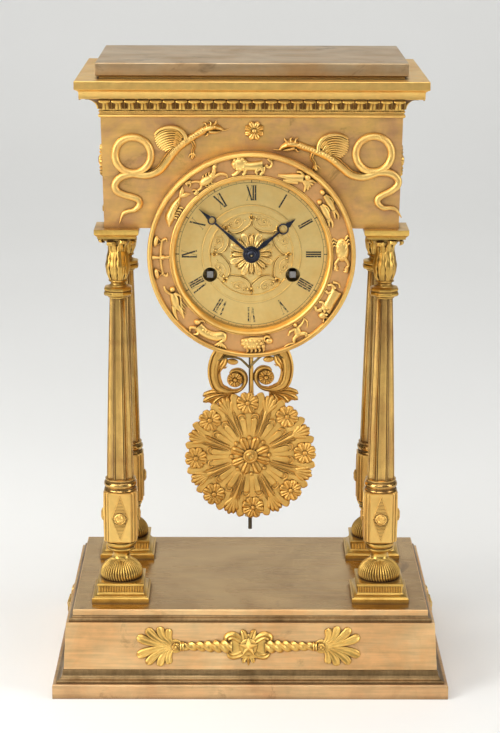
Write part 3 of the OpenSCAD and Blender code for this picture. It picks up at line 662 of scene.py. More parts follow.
# ---- Ornament shared by the mounts ----------------------------------------


def finger(angle, length, half):
    """One lobe of a palmette: it leaves the hub and bends outward."""
    start, curl, height = 0.8, 7.0, 2.2
    path = []
    for t in steps(16):
        a = rad(angle * mix(0.62, 1.0, t) + math.copysign(curl, angle) * t * t)
        r = mix(start, length, t)
        path.append((r * math.cos(a), r * math.sin(a)))
    width = [(0, half * 0.5), (0.45, half * 0.72), (0.82, half), (0.93, half * 0.92), (1, half * 0.42)]
    rise = [(0, height * 0.7), (0.5, height * 0.7), (0.86, height), (0.95, height), (1, height * 0.5)]
    return blade(path, width, rise, "groove", across=12)


# Each lobe of a palmette: its angle in degrees and its length.
LOBES = ((66, 12.4), (46, 16.6), (27, 21.6), (9, 25.0), (-8, 25.0), (-26, 21.4), (-45, 16.2), (-65, 12.0))


def palmette(scale, half=3.2):
    """A dense fan of lobes that opens along +X."""
    s = Shape()
    for angle, length in LOBES:
        s.add(finger(angle, length * scale, half * mix(1.0, 0.8, abs(angle) / 66)))
    s.add(prism(ring_points(4.6 * scale, 24), -0.3, 0.9, 0.4))
    return s


def rope_arm(x0, x1, r0, r1):
    """A twisted bar between two places along X."""
    rope_pitch = 5.2
    path = [(mix(x0, x1, t), 0.0, 0.4) for t in steps(40)]
    twist = -TAU * abs(x1 - x0) / rope_pitch
    return tube(path, even(r0, r1), n=36, lobes=3, depth=0.24, twist=twist, flat=0.8)


def flower(petals, r0, r1, half, height, centre=0.0):
    """Petals round a small ball, if it has one."""
    s = Shape()
    s.around(petal(r0, r1, half, height), petals)
    if centre:
        s.add(ball(centre, centre, centre * 0.8), at(z=height * 0.75))
    return s


def boss_with_star():
    """Shell of rounded leaves with a five-pointed star on it."""
    s = Shape()
    s.add(prism([(x * 1.6, y) for x, y in ring_points(8.2, 40)], -0.4, 1.3, 0.5))
    for side in (-1, 1):
        horn = [(side * x, y) for x, y in ((1.6, 4.5), (2.6, 7.2), (3.4, 9.4), (4.3, 10.9))]
        s.add(blade(spline(horn, 4), [(0, 2.6), (0.6, 2.1), (1, 0.7)], [(0, 2.6), (0.7, 2.6), (1, 1.4)], "groove"))
        lobe = [(side * x, y) for x, y in ((3.5, 3.0), (7.0, 5.6), (10.4, 7.0), (13.2, 5.4), (13.0, 2.4))]
        s.add(blade(spline(lobe, 4), [(0, 3.0), (0.7, 2.9), (1, 1.7)], [(0, 2.0), (0.7, 2.4), (1, 1.2)], "vein"))
        low = [(side * x, y) for x, y in ((2.0, -3.0), (6.4, -5.6), (10.6, -6.2), (13.2, -3.6))]
        s.add(blade(spline(low, 4), [(0, 2.9), (0.7, 2.7), (1, 1.3)], [(0, 1.8), (0.7, 2.0), (1, 1.0)], "vein"))
        foot = [(side * x, y) for x, y in ((0.8, -5.0), (2.4, -8.2), (3.4, -11.2))]
        s.add(blade(spline(foot, 4), [(0, 2.2), (0.7, 1.6), (1, 0.5)], [(0, 1.8), (0.8, 1.6), (1, 0.7)], "groove"))
    s.add(blade([(0, -6.0), (0, -9.5), (0, -12.8)], [(0, 1.6), (0.6, 1.4), (1, 0.3)], even(1.9, 0.7), "ridge"))
    s.add(prism(ring_points(5.6, 32), 1.0, 2.3, 0.5))
    s.add(star(6.6, 2.7, 2.6, 1.9))
    return s


def binding(x, r):
    """Rings and a small flower where an arm meets its palmette."""
    s = Shape()
    for dx in (0.0, 1.5):
        s.add(torus(r + 0.3, 0.7, 24, 8), at(x + dx, 0, 0.3) @ turn(90, "Y"))
    s.add(flower(6, 0.4, 2.7, 1.15, 1.0, 1.0), at(x + 4.6, 0, 1.9))
    return s


mount_z = 33.05
face_y = mix(-block_high.y, -(block_high.y - block_slope), (mount_z - block_bottom) / (block_top - block_bottom))
front_mount = boss_with_star()
for side in (0, 180):
    half_mount = Shape()
    half_mount.add(rope_arm(10.5, 41.5, 3.8, 2.3))
    half_mount.add(binding(41.5, 2.2))
    half_mount.add(palmette(1.0), at(46.6, 0, 0))
    front_mount.add(half_mount, turn(side))
lean = math.degrees(math.atan2(block_slope, block_top - block_bottom))
piece(
    "base_star_mount",
    Shape().add(front_mount, facing(-1.2, face_y, mount_z) @ turn(-lean, "X")),
    mount_metal, nodes=["base_front_mount"],
)
for side, node in ((-1, "base_side_mount_left"), (1, "base_side_mount_right")):
    s = boss_with_star()
    for way in (0, 180):
        arm = Shape()
        arm.add(rope_arm(9.5, 16.0, 3.0, 2.2))
        arm.add(palmette(0.5, 1.5), at(15.5, 0, 0))
        s.add(arm, turn(way))
    side_x = side * (base_x - base_y - face_y)
    piece(
        node + "_star",
        Shape().add(s, sideways(side, side_x, 0, mount_z) @ turn(-lean, "X")),
        mount_metal, nodes=[node],
    )


# ---- Columns --------------------------------------------------------------

ped_low, ped_high = box("pedestal_fr")
cap_low, cap_high = box("capital_fr")
column_x, column_y = (ped_low.x + ped_high.x) / 2, (ped_low.y + ped_high.y) / 2
foot_half, cap_half = (ped_high.x - ped_low.x) / 2, (cap_high.x - cap_low.x) / 2
foot_height = 38.2  # from the deck to the die
die_bottom, die_top = deck_top + foot_height, ped_high.z
die_half, die_flat = 10.6, 6.6
shaft_top, frieze_bottom = box("shaft_fr")[1].z, cap_high.z
# Each column: its side, -1 left or 1 right, and 1 at the front or -1 at the back.
COLUMNS = {"fl": (-1, 1), "fr": (1, 1), "rl": (-1, -1), "rr": (1, -1)}


def octagon(h, f):
    """An eight-sided outline h from its middle whose four main faces are 2 x f wide."""
    return [(h, -f), (h, f), (f, h), (-f, h), (-h, f), (-h, -f), (-f, -h), (f, -h)]


def die_outline(half, flat):
    """The octagon with a reed standing in a groove down each chamfer."""
    groove = ((0.18, 0.0), (0.24, 0.7), (0.36, 0.75), (0.42, 0.15), (0.5, 0.0), (0.58, 0.15), (0.64, 0.75), (0.76, 0.7),
              (0.82, 0.0))
    corners = octagon(half, flat)
    pts = []
    for i, (x, y) in enumerate(corners):
        pts.append((x, y))
        if i % 2 == 1:
            nx, ny = corners[(i + 1) % 8]
            out = Vector((x + nx, y + ny)).normalized()
            pts += [(mix(x, nx, t) - out.x * deep, mix(y, ny, t) - out.y * deep) for t, deep in groove]
    return pts


def reeded_square(half, depth, count):
    """A square outline with rounded vertical reeds along each side."""
    pts = []
    for side in range(4):
        a = rad(90 * side)
        for i in range(count * 6):
            u = i / (count * 6)
            d = half - depth * (1 - abs(math.sin(math.pi * u * count)))
            x, y = d, mix(-half + depth, half - depth, u)
            pts.append((x * math.cos(a) - y * math.sin(a), x * math.sin(a) + y * math.cos(a)))
    return pts


def pedestal_shape():
    """Reeded square foot, swirled gadroon dome and ringed neck."""
    s = Shape()
    z = deck_top
    s.add(mitred(foot_half, foot_half, raised(z, (0, 0), (0, 3.0), (-0.6, 3.6), (-1.6, 3.7))))
    s.add(mitred(15.2, 15.2, raised(z, (1.9, 3.5), (1.6, 4.2), (0.4, 4.8), (-0.4, 5.9), (-0.8, 6.3))))
    reeds = reeded_square(14.6, 0.5, 27)
    s.add(loft([[(x, y, h) for x, y in reeds] for h in (z + 6.0, z + 10.6)]))
    s.add(mitred(15.0, 15.0, raised(z, (-0.8, 10.4), (0, 10.7), (0, 11.8), (-0.5, 12.2), (-2, 12.3))))

    def gadroon(a, r, height):
        """Fine rounded ribs that swirl towards the neck."""
        t = (height - (z + 12)) / 13.5
        swirl = 0.10 * math.sin(t * 3.6) + 0.42 * max(0.0, t - 0.45) ** 1.5
        depth = 0.115 * min(1.0, max(0.0, 1.12 - t) * 6) * min(1.0, (height - z - 11.9) * 2)
        return r * (1 - depth * (1 - abs(math.sin(23 * (a + swirl))) ** 0.7))

    dome = [(11.6, 12.0), (12.6, 12.4), (13.3, 13.6), (13.6, 15.0), (13.6, 16.4), (13.3, 17.8), (12.7, 19.2),
            (11.8, 20.6), (10.6, 21.9), (9.2, 23.0), (8.0, 23.9), (7.0, 24.6), (6.2, 25.4), (5.6, 26.4)]
    s.add(lathe(raised(z, *dome), 368, wave=gadroon))
    neck = [(6.0, 25.9), (5.6, 26.8), (5.5, 28.2), (5.7, 29.4), (6.2, 30.2), (7.2, 30.8), (8.2, 31.3), (8.7, 32.1),
            (8.6, 32.9), (8.0, 33.3), (8.1, 33.7), (8.9, 34.0), (9.5, 34.8), (9.8, 35.8), (9.6, 36.7), (9.1, 37.1),
            (9.5, 37.6), (9.9, 38.4)]
    s.add(lathe(raised(z, *neck), 64))
    return s


def die_shape():
    """Octagonal die with a ribbed lozenge and a rosette on each main face."""
    s = Shape()
    ring, inner = die_outline(die_half, die_flat), die_outline(die_half - 0.6, die_flat - 0.4)
    levels = (inner, die_bottom - 0.2), (ring, die_bottom + 0.5), (ring, die_top - 0.5), (inner, die_top)
    s.add(loft([[(x, y, h) for x, y in outline] for outline, h in levels]))
    middle = (die_bottom + die_top) / 2 - 0.3
    face = Shape()
    for y in steps(29, -13.8, 13.8):
        w = 4.9 * (1 - abs(y) / 14.8)
        face.add(prism([(-w, y - 0.34), (w, y - 0.34), (w, y + 0.34), (-w, y + 0.34)], -0.2, 0.45, 0.2))
    rim = [(0, -15.0), (5.1, 0), (0, 15.0), (-5.1, 0)]
    for (ax, ay), (bx, by) in zip(rim, rim[1:] + rim[:1]):
        edge = [(mix(ax, bx, t), mix(ay, by, t)) for t in steps(3)]
        face.add(blade(edge, even(0.3, 0.3), even(0.6, 0.6), "round", -0.1))
    face.add(lathe([(0, 0.1), (3.6, 0.1), (3.8, 0.9), (3.6, 1.4), (3.1, 1.7), (2.7, 1.4), (2.1, 1.8), (0, 2.1)], 40,
                   wave=lambda a, r, h: r * (1 + (0.05 * math.cos(20 * a) if r > 3.3 else 0))))
    face.add(flower(8, 0.5, 2.8, 0.75, 0.55), at(z=1.6))
    s.around(face, 4, at(y=-die_half, z=middle) @ turn(90, "X"))
    return s


def shaft_shape():
    """Ringed base and an eight-sided tapering shaft with hollowed sides."""
    s = Shape()
    base = [(9.0, -0.1), (10.1, 0.1), (10.4, 0.7), (10.1, 1.3), (9.4, 1.6), (9.3, 2.1), (10.0, 2.5), (10.55, 3.5),
            (10.6, 4.4), (10.3, 5.4), (9.5, 6.0), (9.1, 6.3), (9.2, 6.7), (9.7, 7.0), (9.7, 7.7), (8.9, 8.2),
            (8.0, 8.4)]
    s.add(lathe(raised(die_top, *base), 96))
    low, high = die_top + 8.2, shaft_top + 0.2

    def outline(r):
        """Eight hollowed sides with a fine groove beside each edge."""
        pts = []
        for side in range(8):
            for u in (-1, -0.92, -0.87, -0.82, -0.75, -0.55, -0.3, 0, 0.3, 0.55, 0.75, 0.82, 0.87, 0.92):
                a = rad(45 * side + 22.5 * u)
                edge = r * math.cos(rad(22.5)) / math.cos(rad(22.5 * u))
                hollow_depth = 0.08 * r * max(0.0, 1 - (u / 0.8) ** 2) ** 0.6 + (0.075 * r if 0.8 < abs(u) < 0.9 else 0)
                pts.append(((edge - hollow_depth) * math.cos(a), (edge - hollow_depth) * math.sin(a)))
        return pts

    rings = []
    for t in steps(24):
        r = mix(9.15, 5.65, t) + 0.22 * math.sin(math.pi * t)
        rings.append([(x, y, mix(low, high, t)) for x, y in outline(r)])
    s.add(loft(rings))
    return s


def capital_shape():
    """Rings, a bell of eight curling leaves and a moulded abacus."""
    s = Shape()
    z = shaft_top
    s.add(lathe(raised(z, (5.4, -0.1), (6.3, 0.1), (6.5, 0.8), (6.0, 1.3), (5.6, 1.6)), 48))
    ring = [(6.6, 1.2), (8.0, 1.5), (8.6, 2.2), (8.7, 3.2), (8.3, 4.0), (7.7, 4.3), (7.7, 4.7), (8.3, 5.0),
            (8.5, 5.7), (8.3, 6.5), (7.4, 7.0), (6.0, 7.3)]
    s.add(loft([[(x, y, h) for x, y in octagon(r, r * 0.414)] for r, h in raised(z, *ring)]))
    waist = [(6.0, 7.0), (5.6, 7.6), (4.6, 8.4), (4.4, 9.4), (5.4, 10.2), (6.0, 10.6), (5.6, 11.2), (5.0, 11.6)]
    s.add(lathe(raised(z, *waist), 48))
    core = [(4.4, 10), (5.2, 13), (5.7, 17), (5.7, 21), (4.9, 26), (4.2, 30), (4.6, 33), (5.8, 36), (6.4, 38.5)]
    s.add(lathe(raised(z, *core), 48))
    for i in range(8):
        spine = [(4.9, 10.8), (6.0, 13.6), (6.8, 17.0), (6.9, 20.4), (6.3, 24.4), (5.5, 28.4), (5.2, 31.4), (5.8, 34.2),
                 (7.6, 36.8), (9.9, 38.2), (11.5, 37.6), (11.5, 35.8), (10.4, 35.2)]
        if i % 2:
            spine = [(r * 0.95, h if h < 30 else h - 1.2) for r, h in spine]
        path = spline(spine, 6)
        rows = []
        for k, (r, h) in enumerate(path):
            t = k / (len(path) - 1)
            half = along([(0, 1.5), (0.25, 2.75), (0.42, 2.5), (0.6, 1.7), (0.78, 2.4), (0.93, 2.3), (1, 0.9)], t)
            half *= 1 + 0.10 * math.sin(t * 50)
            thick = along([(0, 0.4), (0.3, 0.9), (0.8, 0.9), (1, 0.4)], t)
            row = []
            for v in steps(12, -1, 1):
                ribs = 0.34 * math.cos(v * 9.0) * (1 - abs(v)) + 0.16 * abs(v) * math.sin(t * 50 + abs(v) * 3)
                row.append((r + thick * SECTIONS["vein"](v) + ribs - 0.3 * v * v, half * v, h))
            row += [(r - 1.0, half * 0.8, h - 0.15), (r - 1.0, -half * 0.8, h - 0.15)]
            rows.append([(x, y, z + hh) for x, y, hh in row])
        s.add(loft(rows), turn(45 * i + 22.5))
    top = frieze_bottom
    s.add(mitred(8.4, 8.4, raised(top, (-2.4, -8.4), (0, -7.9), (0, -6.0), (-1, -5.8))))
    abacus = [(-2.6, -6.2), (-1.9, -6.0), (-1.9, -5.0), (-1.4, -4.4), (-0.7, -3.6), (-0.2, -3.3), (0, -2.9), (0, 0)]
    s.add(mitred(cap_half, cap_half, raised(top, *abacus)))
    return s


PARTS = (("pedestal", pedestal_shape(), darker_gilt), ("die", die_shape(), satin), ("shaft", shaft_shape(), fluted),
         ("capital", capital_shape(), darker_gilt))
for corner, (sx, front) in COLUMNS.items():
    place = at(sx * column_x, -front * abs(column_y))
    for part, shape, finish in PARTS:
        stands_for = [] if part == "die" else [f"{part}_{corner}"]
        piece(f"column_{part}_{corner}", Shape().add(shape, place), finish, nodes=stands_for, smooth=38)


# ---- Frieze, cornice and top ----------------------------------------------

frieze_high = box("frieze_box")[1]
top_low, top_high = box("top_slab")
frieze_x, frieze_y = frieze_high.x, frieze_high.y
cornice_z, clock_top = frieze_high.z, top_high.z
slab_z = top_low.z
cornice_height = slab_z - cornice_z
leaf_pitch = 7.75


def row_of(shape, hx, hy, z, pitch):
    """Copies of a shape along the four sides of a rectangle, facing out."""
    s = Shape()
    for side in range(4):
        half, out = (hx, hy) if side % 2 == 0 else (hy, hx)
        count = round(2 * half / pitch)
        for i in range(count):
            x = -half + (i + 0.5) * 2 * half / count
            s.add(shape, turn(90 * side) @ facing(x, -out, z))
    return s


cornice = [
    (-6, 0), (0.2, 0), (0.9, 0.2), (1.4, 0.9), (1.2, 1.7), (0.5, 2.1), (0.4, 2.9), (0.9, 3.2), (0.9, 4.0), (0.5, 4.3),
    (0.6, 5.2), *cove(1.0, 5.4, 8.2, 12.0, 8, True), (8.8, 12.3), (11.7, 12.5), (12.3, 12.9), (12.3, 16.4),
    (12.7, 17.2), (13.6, 17.8), (14.9, 18.5), (14.9, 23.2), (14.6, 23.5), (0.8, 23.6), (0.6, 23.9),
    (0.6, cornice_height + 0.1), (-6, cornice_height + 0.1),
]
piece("cornice_moulding", mitred(frieze_x, frieze_y, raised(cornice_z, *cornice)), satin, nodes=["cornice"], bevel=0.15)

pearl = ball(0.62, 0.62, 0.62, 10, 6)
piece("cornice_pearls", row_of(pearl, frieze_x + 0.6, frieze_y + 0.6, cornice_z + 3.6, 1.75), burnished)

# A dark sheet just proud of the cove: painted shade between and behind the leaves.
shade = raised(cornice_z, (0.72, 5.3), *cove(1.2, 5.5, 8.3, 11.8, 8, True), (8.5, 12.2))
piece("cornice_cove_shade", hollow(frieze_x, frieze_y, shade, 1.0), painted_cove_shade, smooth=50)


def water_leaf():
    """One leaf of the cove: a stem that spreads and curls forward at its top."""
    s = Shape()
    path = spline([(0.4, 0.0), (0.8, 1.8), (2.0, 3.8), (4.0, 5.4), (6.4, 6.3), (8.8, 6.9), (10.9, 6.9), (12.0, 6.1),
                   (11.8, 5.2)], 4)
    rows = []
    for k, (out, up) in enumerate(path):
        t = k / (len(path) - 1)
        half = along([(0, 2.2), (0.3, 1.9), (0.55, 1.9), (0.78, 3.3), (0.93, 3.4), (1, 2.4)], t)
        lift = along([(0, 1.0), (0.6, 1.2), (1, 0.7)], t)
        swell = [(v, lift * SECTIONS["vein"](v)) for v in steps(10, -1, 1)]
        rows.append([(half * v, up - rise * 0.5, out + rise) for v, rise in swell]
                    + [(half * 0.8, up + 0.5, out - 0.9), (-half * 0.8, up + 0.5, out - 0.9)])
    s.add(loft(rows))
    dart_x = leaf_pitch / 2
    rows = []
    dart = spline([(0.4, 0.0), (1.1, 2.4), (3.0, 4.4), (6.0, 5.8)], 4)
    for k, (out, up) in enumerate(dart):
        w = along([(0, 0.55), (0.7, 0.45), (1, 0.15)], k / (len(dart) - 1))
        rows.append([(dart_x + w * v, up, out + 0.9 * SECTIONS["ridge"](v)) for v in steps(4, -1, 1)]
                    + [(dart_x + w, up, out - 0.6), (dart_x - w, up, out - 0.6)])
    s.add(loft(rows))
    return s


# The leaves take the darker gilt as painted shade of the deep cove.
leaves = row_of(water_leaf(), frieze_x + 0.6, frieze_y + 0.6, cornice_z + 5.2, leaf_pitch)
piece("cornice_leaves", leaves, darker_gilt)

piece(
    "top_slab_plate",
    mitred(top_high.x, top_high.y, [(-4, slab_z), (-0.4, slab_z), (0, slab_z + 0.4), (0, clock_top - 0.4),
                                    (-0.4, clock_top)]),
    slab_metal, nodes=["top_slab"], bevel=0.25,
)

dial_z = 282.5
rosette_low, rosette_high = box("frieze_rosette")
rosette_x = (rosette_low.x + rosette_high.x) / 2
rosette_z = (rosette_low.z + rosette_high.z) / 2
rosette = Shape().add(prism(ring_points(4.6, 32), -0.2, 0.8, 0.4))
rosette.around(petal(0.8, 6.1, 1.75, 1.5, "vein", 0.6), 8, turn(22.5))
rosette.add(ball(1.5, 1.5, 1.3), at(z=1.4))
piece("frieze_flower", Shape().add(rosette, facing(rosette_x, -frieze_y, rosette_z)), chased, nodes=["frieze_rosette"])


def side_wreath():
    """A wreath of leaves round a boss, with two ribbons below it."""
    s = Shape()
    for i in range(22):
        a = 360 * i / 22
        for slant, r in ((35, 9.9), (-35, 8.3)):
            leaf = blade([(0, 0), (1.6, 0), (3.4, 0)], even(0.5, 1.0, 0.15), [(0, 3.0), (0.6, 3.9), (1, 2.4)], "ridge")
            s.add(leaf, turn(a) @ at(r, 0, 0.6) @ turn(90 + slant))
    s.add(torus(9.1, 1.5, 40, 10, 1.6))
    s.add(prism(ring_points(7.6, 32), -0.3, 1.6, 0.4))
    s.add(flower(12, 1.5, 6.2, 1.1, 3.0, 0), at(z=1.0))
    s.add(lathe([(0, 1), (3.2, 1), (3.6, 3.6), (3.0, 4.8), (1.8, 5.4), (0, 5.5)], 24))
    for side in (-1, 1):
        bow = [(side * x, y) for x, y in ((0.6, -9.6), (4.0, -8.6), (6.6, -10.6), (4.6, -12.6), (1.0, -11.2))]
        s.add(blade(spline(bow, 5), even(0.7, 1.3, 0.7), even(1.8, 2.4, 1.6), "soft"))
        tail = [(side * x, y) for x, y in ((1.0, -11.0), (4.6, -15.0), (5.2, -19.0), (8.2, -23.0), (8.0, -28.0))]
        width = [(0, 0.8), (0.3, 1.4), (0.8, 1.8), (1, 1.2)]
        s.add(blade(spline(tail, 6), width, even(1.4, 1.8, 0.9), "groove"))
    s.add(ball(1.7, 1.7, 1.8), at(0, -10.8, 1.2))
    return s


wreath = side_wreath()
wreath_r = 11.6
for side, node in ((-1, "frieze_wreath_left"), (1, "frieze_wreath_right")):
    place = sideways(side, side * (frieze_x - 0.4), 0, box(node)[1].z - wreath_r)
    piece(node + "_leaves", Shape().add(wreath, place), burnished, nodes=[node])


# ---- Winged serpents ------------------------------------------------------


def serpent():
    """Coil, tail, neck, wing, claw and head, drawn about the coil's middle."""
    s = Shape()
    body = spline(
        [(-8.6, -42.2), (-6.5, -36.7), (-3.2, -34.9), (1.0, -33.9), (3.8, -30.6), (2.9, -27.5), (-0.7, -26.0),
         (-6.1, -24.5), (-10.4, -22.0), (-11.3, -18.6), (-9.0, -14.9), (-5.0, -12.6), (0.5, -11.4)], 7)
    width = [(0, 0.35), (0.12, 1.2), (0.4, 2.0), (1, 2.4)]
    s.add(blade(body, width, [(0, 1.0), (0.3, 1.9), (1, 2.1)], "round", across=12))
    coil = [(11.0 * math.cos(a), 11.0 * math.sin(a)) for a in steps(84, 0, TAU)]
    s.add(blade(coil, even(2.3, 2.3), even(2.0, 2.0), "round", across=12))
    rib = [(9.2, 0), (11.0, 0), (12.8, 0)]
    s.around(blade(rib, even(0.18, 0.26, 0.18), even(0.9, 0.45, 0.9), "round", lift=even(0.6, 1.8, 0.6)), 70)
    neck = spline([(-2.0, -11.3), (5.0, -12.4), (11.0, -11.8), (16.4, -8.8), (20.6, -3.4), (24.2, 1.4), (28.8, 6.0),
                   (34.4, 9.8), (39.6, 13.0), (44.0, 15.8)], 7)
    girth = [(0, 2.1), (0.25, 2.5), (0.5, 2.9), (0.68, 2.6), (0.85, 2.1), (1, 2.3)]
    s.add(blade(neck, girth, even(1.9, 2.3, 2.0), "round", across=12))
    for reach, wide in ((0.45, 0.5), (0.85, 0.45)):
        line_of = []
        for i, (x, y) in enumerate(neck[10:52], 10):
            nx, ny = neck[i + 1][0] - x, neck[i + 1][1] - y
            off = along(girth, i / (len(neck) - 1)) * reach / math.hypot(nx, ny)
            line_of.append((x - ny * off, y + nx * off))
        s.add(blade(line_of, [(0, 0.1), (0.4, wide), (1, 0.2)], even(1.9, 2.5, 1.9), "round"))
    for x, y in neck[34:64:2]:
        s.add(ball(0.75, 1.3, 0.5, 10, 6), at(x, y, 2.0) @ turn(33))
    head = spline([(42.6, 14.8), (46.0, 16.6), (49.6, 17.5), (53.0, 16.6), (55.6, 15.6)], 5)
    s.add(blade(head, [(0, 1.8), (0.35, 2.5), (0.7, 1.7), (1, 0.5)], [(0, 2.2), (0.4, 3.0), (1, 1.2)], "soft"))
    jaw = spline([(46.4, 14.4), (50.2, 14.2), (53.6, 14.6)], 5)
    s.add(blade(jaw, even(1.0, 0.9, 0.3), even(1.6, 1.8, 0.8), "round"))
    crests = (
        ([(49.0, 18.0), (50.8, 20.0), (51.0, 21.6)], 0.9), ([(47.4, 18.0), (47.8, 20.0), (46.2, 21.2)], 0.9),
        ([(45.4, 17.4), (44.6, 19.4), (42.8, 20.0)], 0.8), ([(46.0, 13.8), (45.4, 12.2), (43.8, 11.8)], 0.8),
    )
    for points, w in crests:
        s.add(blade(spline(points, 4), [(0, w), (0.6, w * 0.7), (1, 0.15)], even(2.0, 0.8), "round"))
    s.add(ball(0.6, 0.6, 0.6), at(50.2, 17.8, 2.6))
    s.add(tube([(54.6, 15.2, 0.9), (57.0, 15.6, 0.8), (59.2, 16.4, 0.6)], even(0.5, 0.2), 8))
    ridge = spline([(31.8, 12.6), (29.4, 15.6), (25.4, 17.2), (20.8, 17.2), (16.6, 15.6), (13.4, 12.6)], 5)
    base = spline([(25.6, 3.4), (25.1, 2.7), (24.5, 2.2), (23.9, 1.8), (23.3, 1.5), (22.8, 1.3)], 5)
    for k in range(12):
        t = k / 11
        feather = []
        for j, (p, q) in enumerate(zip(ridge, base)):
            u = j / (len(ridge) - 1)
            swell = math.sin(math.pi * t) * u * u
            feather.append((mix(p[0], q[0], t) - 2.6 * swell, mix(p[1], q[1], t) - 2.0 * swell))
        s.add(blade(feather, [(0, 0.55), (0.5, 0.8), (0.9, 0.92), (1, 0.5)], even(1.3, 1.1, 0.6), "soft",
                    0.1, lift=even(0.7, 0.6, 0.1)))
        if k % 2 == 0:
            s.add(blade(feather[:11], [(0, 0.9), (0.7, 1.15), (1, 0.4)], [(0, 1.2), (0.7, 1.1), (1, 0.5)], "vein",
                        0.1, lift=even(1.2, 1.1)))
    s.add(tube([(x, y, 1.5) for x, y in [(32.8, 9.4), *ridge]], even(1.3, 1.15, 0.4), 10))
    claw = spline([(36.0, 9.0), (37.6, 6.0), (36.4, 2.6), (36.8, -0.2), (35.6, -2.6)], 5)
    s.add(blade(claw, [(0, 1.3), (0.5, 0.9), (0.8, 1.2), (1, 0.3)], even(1.8, 0.9), "vein"))
    for dx, dy in ((-2.6, -2.6), (1.8, -2.2)):
        s.add(blade([(36.6, 1.2), (36.6 + dx * 0.7, 1.2 + dy * 0.4), (36.6 + dx, 1.2 + dy)], even(0.7, 0.2),
                    even(1.2, 0.6), "round"))
    return s


# Where each coil's middle lies (x, z), whether it is mirrored, and its tilt in degrees.
SERPENTS = (("serpent_left", -72.7, 343.6, 1, 0.0), ("serpent_right", 74.6, 344.5, -1, -12.8))
serpent_form = serpent()
for node, x, z, mirror, tilt in SERPENTS:
    place = facing(x, -frieze_y - 0.2, z) @ stretch(mirror, 1, 1) @ turn(tilt)
    piece(node + "_chased", Shape().add(serpent_form, place), chased, nodes=[node], smooth=50)


# ---- Bezel ----------------------------------------------------------------

bezel_high = box("bezel")[1]
bezel_r, bezel_back = bezel_high.x, -bezel_high.y
dial_front, dial_edge = 53.0, 47.0
field_front, field_inner, field_outer = 58.5, 50.4, 61.2
FACE = facing(0, 0, dial_z)


def on_face(shape):
    """Moves a shape drawn looking at the dial (Z towards the viewer)."""
    return Shape().add(shape, FACE)


outer_rim = [
    (61.0, 52.0), (61.0, 58.9), (61.3, 59.5), (61.5, 60.6), (62.0, 61.2), (62.6, 61.3), (63.1, 60.8),
    (63.2, 60.2), (63.7, 60.0), (64.2, 59.4), (bezel_r, 58.4), (bezel_r, bezel_back + 0.1), (60.7, bezel_back + 0.1),
]
inner_rim = [
    (50.6, 52.0), (50.6, 58.8), (50.3, 59.4), (49.9, 59.6), (49.7, 59.4), (49.2, 59.9), (48.6, 60.0), (48.0, 59.6),
    (47.4, 58.6), (dial_edge, 57.6), (dial_edge, dial_front + 0.2), (49.0, dial_front + 0.1),
]
piece("bezel_outer_rim", on_face(lathe(outer_rim, 192, loop=True)), satin, nodes=["bezel"], smooth=24)
piece("bezel_inner_rim", on_face(lathe(inner_rim, 192, loop=True)), satin, smooth=24)
field = [(field_inner, 51.0), (field_outer, 51.0), (field_outer, field_front), (field_inner, field_front)]
piece("bezel_field", on_face(lathe(field, 128, loop=True)), copper)


# ---- Twelve small reliefs on the bezel ------------------------------------

relief_mid = 55.9  # radius of the reliefs' middle line
relief_across, relief_up, relief_out = 1.3, 1.28, 1.3  # how much larger than drawn


def limb(s, points, start, middle, end, height=1.3):
    """A tapering form along points, with its three half widths."""
    width = even(*(half * 1.28 for half in (start, middle, end)))
    s.add(blade(spline(points, 5), width, even(height, height * 1.1, height * 0.7), "round"))


def lump(s, x, y, rx, ry, height, slant=0):
    """A rounded swelling: a head, a haunch."""
    s.add(ball(rx * 1.18, ry * 1.18, height * 1.1, 12, 8), at(x, y, 0) @ turn(slant))


def curls(s, places, size, height):
    """Small bumps: a mane, a fleece."""
    for x, y in places:
        s.add(ball(size, size, 0.6, 8, 6), at(x, y, height - 0.3))


def lion():
    s = Shape()
    limb(s, [(-5.0, 0.4), (0, -0.2), (5.0, 0.4)], 2.2, 1.7, 2.0, 1.6)
    lump(s, -5.6, 1.4, 3.1, 3.0, 1.9)
    curls(s, [(-5.6 + 2.7 * math.cos(k), 1.4 + 2.6 * math.sin(k)) for k in steps(8, 0.3, 5.5)], 0.9, 1.5)
    lump(s, -7.8, 1.6, 1.4, 1.3, 2.2)
    limb(s, [(-5.6, -0.8), (-7.4, -2.8), (-10.0, -3.7)], 1.1, 0.8, 0.6)
    limb(s, [(-3.6, -1.0), (-3.4, -3.0), (-4.6, -4.1)], 1.0, 0.7, 0.6)
    limb(s, [(4.8, -0.4), (5.6, -2.4), (4.4, -4.1)], 1.5, 0.8, 0.6)
    limb(s, [(3.4, -0.8), (2.2, -2.6), (2.8, -4.1)], 1.3, 0.7, 0.5)
    limb(s, [(6.4, 1.0), (8.4, 0.0), (9.0, 2.4), (7.2, 4.0), (8.8, 4.4)], 0.6, 0.5, 0.8)
    return s


def reclining():
    s = Shape()
    limb(s, [(3.0, 1.4), (0.2, -0.2), (-3.2, -1.6), (-8.6, -2.6)], 1.7, 1.7, 0.6, 1.5)
    limb(s, [(1.6, -1.0), (-1.6, -3.0), (-5.2, -3.9)], 1.5, 1.0, 0.5)
    lump(s, 4.4, 2.9, 1.35, 1.5, 2.0)
    limb(s, [(3.0, 2.0), (0.8, 3.4), (-1.0, 2.4)], 0.8, 0.6, 0.5)
    limb(s, [(3.6, 0.6), (6.0, -1.0), (7.2, -3.6)], 0.9, 0.6, 0.5)
    for k in range(4):
        limb(s, [(4.4, 1.0), (6.8 + 0.2 * k, 2.8 - 1.3 * k), (9.0 - 0.3 * k, 3.6 - 1.9 * k)], 0.6, 0.7, 0.2, 1.1)
    return s


